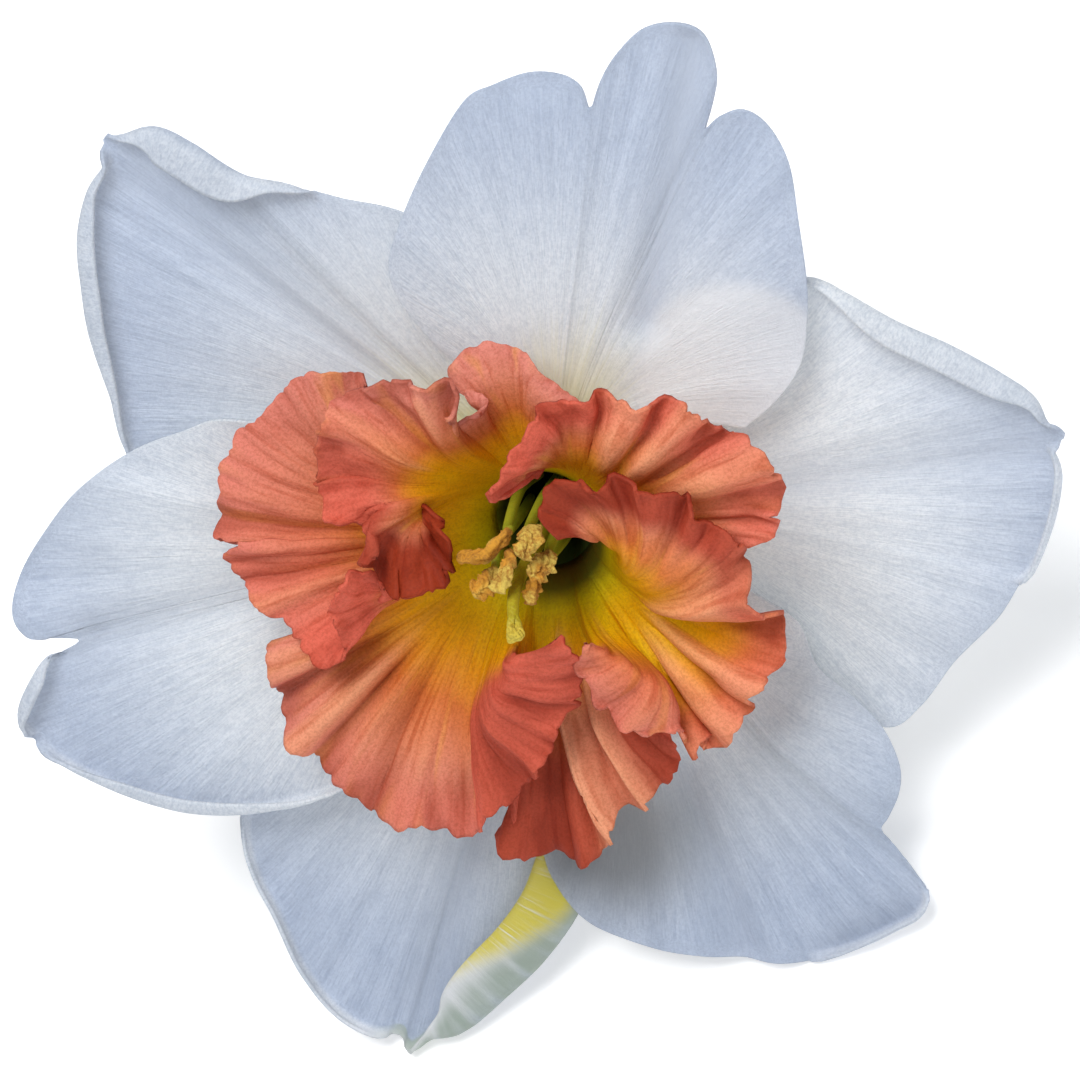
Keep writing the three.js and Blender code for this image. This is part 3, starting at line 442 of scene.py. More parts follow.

# %% [markdown]
# The corona is one sheet too, a cup that grew far too wide for its mouth, so its rim doubles back on itself
# in lobes that lie out and folds that turn in over the throat. Its rim is a closed curve drawn stretch by
# stretch, clockwise on the face. Each stretch grows from its own part of the base ring, and a plain funnel is
# drawn towards the rim more and more on the way out. The frill is a crinkle that only the outer half has:
# ridges along the sheet, closer and deeper towards the rim, and an edge that is nibbled in and out. A few
# deeper pleats are placed one by one: a pleat is its place on the stretch, its width, its height, how far out
# it sets in, and how pale it is, a painted highlight along its crest. Each stretch also says how far its middle
# bulges or hooks, how strong its frill is, how flushed it is at its two ends, where a strong flush darkens
# partly as a deeper red and partly as painted shade, and how far the sun shifts its bands. What a stretch
# leaves out is as on a plain fold.

# %% The corona's rim
CORONA = {"base_radius": 5.7, "base_height": 0.7, "rim_radius": 26, "rim_height": 11.5, "thickness": 0.42}
Pleat = namedtuple("Pleat", "at width height start pale", defaults=[0])
Stretch = namedtuple("Stretch", "to points pleats bulge frill flush margin fade sun hook",
                     defaults=[(), -1, 0.3, (0.3, 0.3), 0.45, 0.2, 0, (0, 0, 0)])
RIM_START = 243  # degrees clockwise from the top of the face, where the first stretch begins
RIM = {
    "curl": Stretch(to=258, points=[
        (-20.5, -9.5, 8.8), (-16, -6.4, 10.2), (-13.2, -2.4, 14.6), (-16.2, -1, 16.6), (-18.4, -4.5, 15.8),
        (-17.8, -7.8, 14.6), (-17.4, -10.6, 13.6), (-19.4, -11.8, 13.4), (-21.8, -10.8, 12.2),
    ], bulge=1, frill=0.6, flush=(0.5, 0.5)),
    "left lobe": Stretch(to=283, points=[
        (-24, -9, 10.6), (-26.6, -8, 9.6), (-28.6, -6, 9), (-31.2, -3.4, 8.6), (-29.4, -1.5, 9),
        (-31.8, -1.2, 8.4), (-32, 2, 8), (-31, 6.4, 7.6), (-29, 10.3, 7.4), (-26, 13, 7.3),
        (-23.9, 15.6, 7.2), (-20.8, 16.7, 7.2), (-17, 16.7, 7.4),
    ], pleats=[
        (1.2, 0.5, 1, 0.4, 0.3), (2.2, 0.4, -0.7, 0.4), (5.6, 0.3, -0.7, 0.35), (9.2, 0.5, -0.5, 0.5),
    ], frill=0.5, flush=(0.3, 0), sun=-0.04),
    "fold under the second lobe": Stretch(to=295, points=[
        (-16.2, 14, 8.4), (-15, 10.8, 9.6), (-11.8, 8, 12),
    ]),
    "second lobe": Stretch(to=332, points=[
        (-7, 5.2, 15.6), (-5.8, 3.8, 16.4), (-6.4, 2.2, 16.8), (-7.3, 0.6, 17), (-6.6, -1.5, 17),
        (-9, -1.8, 17), (-10.6, -2.7, 17), (-13.2, -0.8, 17), (-15.2, 1, 17), (-14.8, 3.3, 17),
        (-14.2, 4.8, 16.8), (-16.6, 4.6, 16.6), (-18.4, 5, 16.3), (-19.3, 7.6, 15.8), (-19.5, 10.6, 15.4),
        (-19.1, 14, 15.2), (-18.6, 16.2, 15), (-16.2, 17, 15), (-13.7, 18, 15.2), (-11.4, 18.6, 15.4),
        (-8.9, 19.1, 15.6), (-7, 18.4, 15.6), (-6, 16.2, 15),
    ], pleats=[
        (2.8, 0.6, -1.2, 0.45), (8, 0.8, 1.2, 0.4), (13.5, 0.9, -1.3, 0.3), (16, 0.8, 1.6, 0.3),
        (18.2, 0.8, -2.2, 0.3), (20, 0.6, 1.2, 0.4), (21, 0.6, -0.7, 0.4),
    ], bulge=5.5, frill=1, flush=(1.6, -0.4), margin=0.4, fade=0.3, sun=-0.1),
    "top lobe": Stretch(to=363, points=[
        (-6.4, 14.2, 12.8), (-4.8, 14.6, 11.4), (-3.6, 15.6, 9.8), (-4.6, 15.8, 8.2), (-6.8, 15.8, 7),
        (-7.8, 17.4, 6.3), (-6.4, 19.6, 6), (-3.2, 20.7, 6), (-0.7, 19.9, 6.3), (1.4, 17.8, 7.4),
        (4.2, 17, 9),
    ], frill=0.25, flush=(0, 0), sun=-0.12),
    "fold under the upper right lobe": Stretch(to=377, points=[
        (5.6, 14.6, 9.6), (4, 11.4, 11.6),
    ], flush=(0.6, 0.6)),
    "upper right lobe": Stretch(to=428, points=[
        (-0.9, 8.7, 17.8), (-2.2, 9.2, 18.2), (-1.9, 11.4, 18.6), (0, 13.8, 18.4), (2.5, 16.5, 17.6),
        (3.8, 18, 17.2), (6.4, 18.8, 16.4), (8, 18.7, 15.8), (9.6, 19.8, 15.7), (12.2, 19.6, 15.4),
        (14, 18.7, 14.9), (15.4, 19.3, 14.8), (17, 19.3, 14.8), (18.4, 17.4, 14.6), (19.9, 15.4, 13.6),
        (21.6, 15.5, 13.8), (24.4, 14, 13.2), (25.8, 10.4, 12.4), (25.4, 7.2, 12.2), (25.4, 5.4, 12),
        (23.6, 4.2, 12.2),
    ], pleats=[
        (3, 0.9, 1.1, 0.5), (5.2, 0.8, -1.3, 0.4), (7.2, 0.6, -0.9, 0.4), (8.8, 0.9, 1.1, 0.35, 0.6),
        (10.6, 0.7, -0.6, 0.35), (12.3, 0.8, 0.9, 0.35, 0.6), (14, 0.6, -0.7, 0.35), (16, 0.7, 0.8, 0.4, 0.4),
        (18.6, 0.4, -1.2, 0.5),
    ], bulge=4, frill=0.8, flush=(0.6, 0.25), margin=0.6),
    "fold under the flap": Stretch(to=440, points=[
        (20.4, 2.6, 11.2), (14.6, 3, 10.4), (9.4, 3.4, 11.6),
    ], flush=(0.4, 0.4)),
    "flap over the throat": Stretch(to=474, points=[
        (3.6, 6.2, 16), (2.9, 8, 16.8), (4, 10, 17.4), (6.6, 11.6, 18.1), (8.9, 11.9, 18.3),
        (9.8, 11.2, 18.2), (11.4, 11.5, 18), (12.9, 10.5, 17.7), (14.8, 10.7, 17.4), (17.2, 8.9, 16.8),
        (18.8, 7.5, 16.4), (20.8, 7.1, 15.9), (22.3, 5.4, 15.2), (22.8, 1.8, 14), (23.6, 0, 13.5),
    ], pleats=[
        (13.6, 1.2, 2, 0.3, 0.4), (5.2, 0.6, -0.9, 0.6), (10.4, 0.7, -1, 0.6),
    ], bulge=5.5, frill=0.9, flush=(0.95, 0.75), margin=0.7, fade=0.14, sun=0.08),
    "right lobe": Stretch(to=493, points=[
        (25, -2.6, 12.8), (26.5, -6, 12), (26.4, -7.6, 12), (25, -10, 12.2), (23.4, -11.6, 12),
        (22.5, -14.5, 12), (20.6, -18, 11.6), (18.9, -16.6, 12), (18.1, -18.4, 11.4), (16.8, -18.2, 11.6),
    ], pleats=[
        (0.6, 0.4, -1.4, 0.6), (3.6, 0.6, 1.5, 0.3, 0.6), (4.6, 0.4, -1, 0.4), (5.6, 0.6, 1, 0.3, 0.6),
        (7, 0.4, -1.2, 0.5),
    ], bulge=-2, frill=0.8, flush=(0.3, 0.2), margin=0.7, sun=0.28),
    "lower flap": Stretch(to=508, points=[
        (17.4, -14.8, 13.8), (15.2, -15.6, 15), (12.8, -15.6, 15.2), (10.9, -14.8, 15.2), (9.2, -13.4, 15.3),
        (7.9, -12.2, 15.4), (7.2, -10.4, 15.6), (6.7, -8.4, 15.8), (6.8, -6, 16),
    ], pleats=[
        (1.6, 0.4, -0.7, 0.7), (4.5, 0.4, -0.6, 0.7),
    ], bulge=0, hook=(3.8, 2.6, 3.2), frill=0.8, flush=(0.2, 0.15), sun=0.06),
    "fold under the lower flap": Stretch(to=515, points=[(9, -9.6, 12.6), (13.4, -16, 10.4)], frill=0.2),
    "bottom lobe": Stretch(to=537, points=[
        (15.8, -20.4, 9.6), (14.4, -22.7, 9.2), (12.9, -24.4, 9), (11.6, -26, 9), (9.6, -26.8, 9.2),
        (9, -29.1, 8.8), (8.2, -31.2, 8.6), (6.6, -32.7, 8.5), (4.8, -33.7, 8.4), (1, -33.2, 8.3),
        (-2.7, -33, 8.2),
    ], pleats=[
        (0.8, 0.35, 1.2, 0.5), (2.4, 0.8, 2.2, 0.3, 0.9), (3.6, 0.35, -1, 0.4), (4.9, 1.2, 2.8, 0.15, 1),
        (6.4, 0.4, -0.8, 0.5), (8, 0.4, -0.7, 0.5),
    ], bulge=-2, frill=0.8, flush=(0.85, 0.85)),
    "fold under the tongue": Stretch(to=546, points=[(-0.6, -26, 8.6), (2.6, -18, 10)], flush=(0.5, 0.5)),
    "tongue": Stretch(to=564, points=[
        (3.6, -7, 14.8), (5, -5.8, 16), (6.3, -6.8, 15.6), (6.6, -10.1, 15.2), (6.2, -13.6, 14.8),
        (5.2, -15, 14.4), (3.6, -18.3, 14), (2.3, -20.9, 13.4), (0.4, -23.7, 12.8), (-2.3, -27, 11.8),
    ], pleats=[
        (4.5, 0.35, -0.9, 0.6), (6, 0.35, -0.9, 0.6), (7.6, 0.4, -0.9, 0.6),
    ], bulge=2, hook=(-2.2, 0.8, 2), frill=0.9, flush=(0.5, 0.75), margin=0.35),
    "lower left lobe": Stretch(to=603, points=[
        (-4.3, -30, 10.3), (-6.4, -31.2, 9.9), (-8.6, -30.6, 9.9), (-11.4, -30.6, 9.7), (-15, -30.2, 9.7),
        (-18.6, -27.8, 9.6), (-21.3, -24.6, 9.7), (-24.1, -22.5, 9.5), (-25.9, -18.6, 9.2),
        (-26.4, -14.6, 9.1), (-25.8, -11.4, 9),
    ], pleats=[
        (2.6, 0.3, -0.6, 0.5), (4.4, 0.35, -0.9, 0.3), (5.4, 0.35, 0.8, 0.3), (6.2, 0.4, -1.2, 0.3),
        (6.9, 0.4, 1.2, 0.4, 0.5), (8.2, 0.4, -0.9, 0.35),
    ], bulge=0, frill=0.7, flush=(0.3, 0), margin=0.7),
}

# %% The corona's surface
CORONA_GRID = {"columns": 1201, "rows": 38}
PULL = 2.1
PLEAT_RISE = 0.4  # the share of the way out in which a pleat reaches its height
FULL_RELIEF = 1.2  # the height, in mm, of a ridge's full painted highlight and a valley's full painted shade
FRILL = ((43, 0.6, 2.2), (59, 0.55, 3), (83, 0.4, 4))  # waves round the rim, height, how late they set in
CRINKLE = ((1.1, 0.65, 6), (2, 0.8, 4), (6, 0.6, 2))  # length along the rim, height, how late it sets in
TEETH = ((1.5, 1.25), (3.2, 1.15))  # length along the rim, depth
TEETH_SEED = 40
TEETH_LATE = 9  # how late on the way out the teeth set in
FRILL_LEAN = 0.4  # the share of a wave's height by which it leans along the rim, back and forth
GOLDEN_TURN = 2.4
ROW_CROWDING = 1.25  # how much closer the rows of the grid lie towards the rim
ROOT_TUCK = {"inwards": 0.5, "down": 1.1, "until": 0.08}  # how far the root reaches into the tube
SLOPE_STEP = 0.02  # how far on either side the slope of the sheet is taken
DARKEST = 505  # the direction of the throat's darkest painted shade; the side opposite gets painted light


def funnel(degrees, v):
    angle = math.radians(90 - degrees)
    radius = mix(CORONA["base_radius"], CORONA["rim_radius"], v ** 1.15)
    height = mix(CORONA["base_height"], CORONA["rim_height"], 1 - (1 - v) ** 1.8)
    return Vector((radius * math.cos(angle), radius * math.sin(angle), height))


def corona_columns(count):
    """What the corona's formula needs to know about each column of its grid."""
    points, knots, pleats = [], [], []
    begun = RIM_START
    for stretch in RIM.values():
        pleats += [Pleat(len(points) + at, *rest) for at, *rest in stretch.pleats]
        for i, point in enumerate(stretch.points):
            part = (i + 0.5) / len(stretch.points)
            fade = math.sqrt(math.sin(math.pi * part))
            points.append(point)
            knots.append({
                "degrees": mix(begun, stretch.to, part),
                "bulge": stretch.bulge * fade,
                "hook": Vector(stretch.hook) * fade,
                "frill": stretch.frill,
                "flush": mix(*stretch.flush, part),
                "margin": stretch.margin,
                "fade": stretch.fade,
                "sun": stretch.sun,
            })
        begun = stretch.to
    total = len(points)
    columns = []
    for place, reached in even_places(points, count, ring=True):
        first = math.floor(place)
        here, there = knots[first % total], knots[(first + 1) % total]
        column = {key: here[key] + (there[key] - here[key]) * (place - first)
                  for key in here if key != "degrees"}
        wrap = 360 if (first + 1) % total == 0 else 0
        column["degrees"] = mix(here["degrees"], there["degrees"] + wrap, place - first)
        ahead = curve_point(points, place + 0.2, ring=True) - curve_point(points, place - 0.2, ring=True)
        near = [(pleat, (place - pleat.at + total / 2) % total - total / 2) for pleat in pleats]
        column.update(
            rim=curve_point(points, place, ring=True), reached=reached, along=ahead.normalized(),
            pleats=[(math.exp(-((away / pleat.width) ** 2)), pleat)
                    for pleat, away in near if abs(away) < 3 * pleat.width])
        columns.append(column)
    return columns


def corona():
    count, rows = CORONA_GRID["columns"], CORONA_GRID["rows"]
    columns = corona_columns(count - 1)
    length = columns[-1]["reached"]

    def turning(reached, period, seed):
        """Noise along the rim that meets itself after one round."""
        angle = 2 * math.pi * reached / length
        radius = length / period / (2 * math.pi)
        return noise.noise(Vector((radius * math.cos(angle), radius * math.sin(angle), 13.7 * seed)))

    def sheet_point(column, v):
        pull = (column["rim"] - funnel(column["degrees"], 1)) * v ** PULL
        bulge = Vector((0, 0, column["bulge"] * math.sin(math.pi * v) ** 2))
        return funnel(column["degrees"], v) + pull + bulge + column["hook"] * math.sin(math.pi * v * v) ** 2

    def raised(column, v):
        """How far pleats, frill and crinkles lift the sheet along its normal, and push it along its rim."""
        reached = column["reached"]
        height = sum(share * pleat.height * smooth((v - pleat.start) / PLEAT_RISE)
                     for share, pleat in column["pleats"])
        push = 0
        for number, (waves, high, late) in enumerate(FRILL):
            phase = 2 * math.pi * waves * reached / length + GOLDEN_TURN * number
            swing = column["frill"] * high * v ** late
            height += swing * math.sin(phase)
            push -= FRILL_LEAN * swing * math.sin(2 * phase)
        height += math.sqrt(column["frill"]) * sum(
            high * turning(reached, period, seed + 0.5 * v) * v ** late
            for seed, (period, high, late) in enumerate(CRINKLE))
        return height, push

    def slope(column, v):
        ahead = sheet_point(column, min(v + SLOPE_STEP, 1))
        behind = sheet_point(column, max(v - SLOPE_STEP, 0))
        outward = (ahead - behind).normalized()
        return outward, column["along"].cross(outward)

    def place(u, v):
        column = columns[round(u * (count - 1)) % (count - 1)]
        v = 1 - (1 - v) ** ROW_CROWDING
        spot = sheet_point(column, v)
        outward, normal = slope(column, v)
        if normal.length > 0.1:
            height, push = raised(column, v)
            spot = spot + normal.normalized() * height + column["along"] * push
        teeth = math.sqrt(column["frill"]) * sum(
            deep * (math.sqrt(abs(turning(column["reached"], period, TEETH_SEED + period))) - 0.5)
            for period, deep in TEETH)
        root = (1 - smooth(v / ROOT_TUCK["until"])) * funnel(column["degrees"], 0).normalized()
        spot = spot + outward * teeth * v ** TEETH_LATE - root * ROOT_TUCK["inwards"]
        return spot - Vector((0, 0, ROOT_TUCK["down"] * root.length))

    def painted(amount):
        return lambda u, v, spot: amount(columns[round(u * (count - 1)) % (count - 1)], v)

    def relief(column, v):
        """How high a place stands over its surroundings, on the side of the sheet that the face shows."""
        v = 1 - (1 - v) ** ROW_CROWDING
        facing = 1 if slope(column, v)[1].z > 0 else -1
        return min(max(facing * raised(column, v)[0] / FULL_RELIEF, -1), 1)

    paints = {
        "flush": painted(lambda column, v: min(max(2 * column["flush"], 0), 1)
                         * smooth((v - column["margin"]) / column["fade"])),
        # how far the flush darkens further: partly a deeper red, partly painted shade
        "brick": painted(lambda column, v: min(max(2 * column["flush"] - 1, 0), 1)),
        # painted light on one side of the throat, which draws its dark green towards yellow
        "lit": painted(lambda column, v: (1 - smooth((v - 0.1) / 0.3))
                       * (0.5 - 0.5 * math.cos(math.radians(column["degrees"] - DARKEST)))),
        "sun": painted(lambda column, v: column["sun"]),
        # painted highlight on the ridges and painted shade in the valleys
        "relief": painted(relief),
        # a painted highlight along the crests of some pleats
        "pale": painted(lambda column, v: smooth((v - 0.3) / 0.3) * sum(
            share * pleat.pale for share, pleat in column["pleats"])),
    }
    piece = shaped_grid("frilled_corona", count, rows, place, ring=True, paints=paints)
    thicken(piece, CORONA["thickness"])
    return piece


PIECE_OF["corona"] = corona()
print("corona:", len(PIECE_OF["corona"].data.polygons), "faces")

# %% [markdown]
# Stalks, tubes and anthers are round, so they are grids wrapped round a path. A station on the path is a
# share of the way and a radius; a radius of nothing closes the end, where merging the points makes a clean
# pole. Only the floral tube and the hollow scape turn inwards at an end and come back up on the inside.

# %% Round pieces along a path
def swept(name, path, stations, sides, rows, sideways, swell=lambda angle, t: 1):
    """A round piece along a smooth path. Stations are joined smoothly, and swell makes lobes and ribs."""
    ring_hint = Vector(sideways)
    last = len(path) - 1

    def place(u, v):
        s = v * (len(stations) - 1)
        t, radius = curve_point([(a, b, 0) for a, b in stations], s)[:2]
        t = min(max(t, 0), 1)
        centre = curve_point(path, t * last)
        tangent = curve_point(path, min(t + 0.01, 1) * last) - curve_point(path, max(t - 0.01, 0) * last)
        tangent.normalize()
        first = (ring_hint - tangent * ring_hint.dot(tangent)).normalized()
        second = tangent.cross(first)
        angle = 2 * math.pi * u
        radius = max(radius, 0) * swell(angle, t)
        return centre + (first * math.cos(angle) + second * math.sin(angle)) * radius

    return shaped_grid(name, sides + 1, rows, place, ring=True)


# %% [markdown]
# The floral tube, the ovary and the stem hide behind the tepals, but the flower is seen from behind too. The
# tube has six faint ribs, one for each tepal it fed, the ovary three swollen chambers, and the scape many low
# ridges along it and a cut, hollow end.

# %% The tube and the ovary
TUBE_LENGTH = 24
GAP = 0.3
OVARY_LENGTH = 11
OVARY_TOP = -TUBE_LENGTH - GAP
OVARY_FOOT = OVARY_TOP - OVARY_LENGTH
TUBE_OUTSIDE = [(0, 6.2), (0.12, 5.5), (0.35, 4.6), (0.7, 3.4), (1, 2.8)]
TUBE_WALL = 0.9
TUBE_LIP = 0.25


def floral_tube():
    inside = [(t, radius - TUBE_WALL) for t, radius in reversed(TUBE_OUTSIDE)]
    upper_lip, lower_lip = ((t, radius - TUBE_LIP) for t, radius in (TUBE_OUTSIDE[0], TUBE_OUTSIDE[-1]))
    stations = TUBE_OUTSIDE + [lower_lip] + inside + [upper_lip] + TUBE_OUTSIDE[:1]

    def ribs(angle, t):
        return 1 + 0.02 * math.cos(6 * angle) * smooth(8 * t)

    return swept("throat_tube", [(0, 0, 0), (0, 0, -TUBE_LENGTH / 2), (0, 0, -TUBE_LENGTH)], stations,
                 sides=96, rows=140, sideways=(1, 0, 0), swell=ribs)


def ovary():
    stations = [
        (0, 0), (0, 1.4), (0.005, 2.5), (0.12, 3.2), (0.4, 3.9), (0.75, 3.3), (0.97, 2.0), (1, 1.2), (1, 0),
    ]

    def chambers(angle, t):
        seam = abs(math.cos(1.5 * angle))
        return 1 + 0.06 * math.cos(3 * angle) - 0.05 * (1 - seam) ** 6

    return swept("green_ovary", [(0, 0, OVARY_TOP), (0, 0, (OVARY_TOP + OVARY_FOOT) / 2), (0, 0, OVARY_FOOT)],
                 stations, sides=96, rows=90, sideways=(1, 0, 0), swell=chambers)


PIECE_OF["floral_tube"] = floral_tube()
PIECE_OF["ovary"] = ovary()

# %% The stem and the spathe
STEM = {"radius": 3.4, "wall": 1.1, "pedicel": 1.7, "length": 46, "bend": 7}
SPATHE_THICKNESS = 0.3
STEM_WAY = Vector((-math.cos(ROLL), -math.sin(ROLL), 0))
STEM_SIDE = Vector((STEM_WAY.y, -STEM_WAY.x, 0))
STEM_TOP = OVARY_FOOT - GAP
STEM_LOW = STEM_TOP - STEM["bend"]


def stem_point(distance, z):
    return STEM_WAY * distance + Vector((0, 0, z))


def stem():
    path = [
        stem_point(0, STEM_TOP), stem_point(0.3, STEM_TOP - 3), stem_point(2.6, STEM_LOW + 0.8),
        stem_point(7, STEM_LOW), stem_point(14, STEM_LOW), stem_point(0.6 * STEM["length"], STEM_LOW),
        stem_point(STEM["length"], STEM_LOW),
    ]
    hollow = STEM["radius"] - STEM["wall"]
    stations = [
        (0, 0), (0, 1.1), (0.01, 1.5), (1 / 6, STEM["pedicel"]), (0.33, 2.7), (0.5, STEM["radius"]),
        (0.67, STEM["radius"]), (0.83, STEM["radius"]), (1, STEM["radius"]), (1, STEM["radius"] - 0.2),
        (1, hollow + 0.2), (1, hollow), (0.9, hollow), (0.72, hollow), (0.68, 0),
    ]

    def edges(angle, t):
        return 1 + 0.012 * math.cos(22 * angle) - 0.012

    return swept("bent_stem", path, stations, sides=132, rows=170, sideways=STEM_SIDE + Vector((0, 0, 0.01)),
                 swell=edges)


def spathe():
    """The papery sheath. It starts round the scape's upper end and runs on past the bend to a split tip."""
    stations = [
        (9, 4.1, 80), (5, 4.2, 80), (1, 4.4, 58), (-3, 4.8, 56), (-8, 5.2, 40), (-12, 5.4, 18), (-14, 5.6, 4),
    ]

    def place(u, v):
        distance, radius, half = curve_point(stations, v * (len(stations) - 1))
        share = 2 * u - 1
        crinkle = 0.16 * ripple(9 * u, 3 * v, 5) + 0.3 * ripple(3 * u, 1.4 * v, 8) * v
        angle = math.radians(half * share)
        ragged = 0.5 * ripple(16 * u, 0, 3) * (1 - smooth(6 * v))
        return (STEM_WAY * (distance + ragged) + STEM_SIDE * (radius + crinkle) * math.cos(angle)
                + Vector((0, 0, STEM_LOW + (radius + crinkle) * math.sin(angle))))

    piece = shaped_grid("papery_spathe", 90, 110, place)
    thicken(piece, SPATHE_THICKNESS)
    return piece


PIECE_OF["stem"] = stem()
PIECE_OF["spathe"] = spathe()
print("stem and spathe made")

# %% [markdown]
# Each stamen is a slim filament with a long anther at its end. A ripe anther has split along its length and
# its walls have rolled back, so it is a crinkled, twisted rod covered in pollen. The style is a smooth stalk
# with a stigma of three blunt lobes.

# %% Stamens and pistil
STAMENS = [
    [(-1.9, 2.2, -7), (-2.5, 3.1, 0), (-1.2, 3.8, 12),
     (-0.5, 4.5, 14.6), (-2.6, 2.2, 15.4), (-5.5, 1.6, 15.5)],
    [(0.4, 2.9, -7), (0, 2.7, 0), (1, 4.2, 12),
     (1.5, 4.8, 14.6), (1.9, 4.5, 16.5), (1.3, 3, 17.8)],
    [(2.7, 1.1, -7), (2.1, 1, 0), (2.8, 1.7, 11),
     (3.2, 2, 13.6), (3, 1.5, 15.4), (2, 0.9, 17)],
    [(-2.9, -0.4, -7), (-2.5, 0.3, 0), (-2.6, 0.9, 10),
     (-2.1, 0.1, 14), (-2.6, -1, 15.8), (-3.9, -1.6, 16.3)],
    [(1.8, -2.3, -7), (2.1, -1.7, 0), (2, -0.6, 10),
     (2.1, -0.2, 12.8), (2, -0.9, 14.4), (1.6, -2.6, 15.8)],
    [(-1.4, -2.5, -7), (-1.7, -1.9, 0), (-1.5, -0.2, 10),
     (-0.6, 1.6, 14), (-0.3, 1.4, 16.4), (-0.9, -0.6, 18.2)],
]
ANTHER_START = 0.6
STAMEN_STATIONS = [
    (0, 0), (0, 0.4), (0.2, 0.55), (0.4, 0.5), (0.56, 0.4), (0.6, 0.45), (0.64, 0.66), (0.72, 0.76),
    (0.84, 0.8), (0.93, 0.72), (0.97, 0.58), (1, 0.3), (1, 0),
]


def stamen(name, path, seed):
    def crinkle(angle, t):
        anther = smooth((t - ANTHER_START) / 0.05)
        twist = 2 * angle + 9 * t + seed
        halves = 0.4 * math.cos(twist) - 0.25 * abs(math.sin(twist)) ** 4
        lumps = 0.8 * ripple(1.3 * math.cos(angle), 1.3 * math.sin(angle) + 18 * t, seed)
        folds = 0.4 * ripple(2.6 * math.cos(angle), 2.6 * math.sin(angle) + 46 * t, seed + 20)
        grain = 0.1 * ripple(9 * math.cos(angle), 9 * math.sin(angle) + 150 * t, seed + 50)
        return 1 + anther * (halves + lumps + folds + grain)

    return swept(name, path, STAMEN_STATIONS, sides=40, rows=150, sideways=(0.3, 1, 0.1), swell=crinkle)


def pistil():
    path = [
        (0, 0, OVARY_TOP + GAP), (0, 0, -12), (0.1, -0.9, 0), (0.1, -1, 10), (0.3, -1.6, 16.4),
        (1.5, -3.9, 21.6),
    ]
    stations = [
        (0, 0), (0, 0.7), (0.02, 0.9), (0.3, 0.8), (0.6, 0.7), (0.86, 0.58), (0.92, 0.58), (0.96, 0.7),
        (0.985, 0.72), (1, 0.5), (1, 0),
    ]

    def lobes(angle, t):
        tip = smooth((t - 0.88) / 0.04)
        lumps = 0.5 * ripple(2 * math.cos(angle), 2 * math.sin(angle) + 60 * t, 9)
        grain = 0.16 * ripple(8 * math.cos(angle), 8 * math.sin(angle) + 220 * t, 4)
        return 1 + tip * (0.22 * math.cos(3 * angle) + lumps + grain)

    return swept("style_and_stigma", path, stations, sides=60, rows=150, sideways=(1, 0, 0), swell=lobes)


for number, path in enumerate(STAMENS, start=1):
    PIECE_OF[f"stamen_{number}"] = stamen(f"pollen_stamen_{number}", path, number)
PIECE_OF["pistil"] = pistil()
print("stamens:", len(STAMENS))

# %% [markdown]
# A finish is a small tree of shader nodes. Writing it as arithmetic keeps it short: a wire stands for a
# socket, and adding or multiplying wires adds the Math nodes. One method makes any other node.

# %% Wires and finishes
class Wire:
    """A socket in a finish, which takes part in sums."""

    def __init__(self, finish, socket):
        self.finish = finish
        self.socket = socket

    def sum(self, operation, *values):
        return self.finish.node("ShaderNodeMath", {"operation": operation}, dict(enumerate(values)))

    def __add__(self, other):
        return self.sum("ADD", self, other)

    def __radd__(self, other):
        return self.sum("ADD", other, self)

    def __sub__(self, other):
        return self.sum("SUBTRACT", self, other)

    def __rsub__(self, other):
        return self.sum("SUBTRACT", other, self)

    def __mul__(self, other):
        return self.sum("MULTIPLY", self, other)

    def __rmul__(self, other):
        return self.sum("MULTIPLY", other, self)


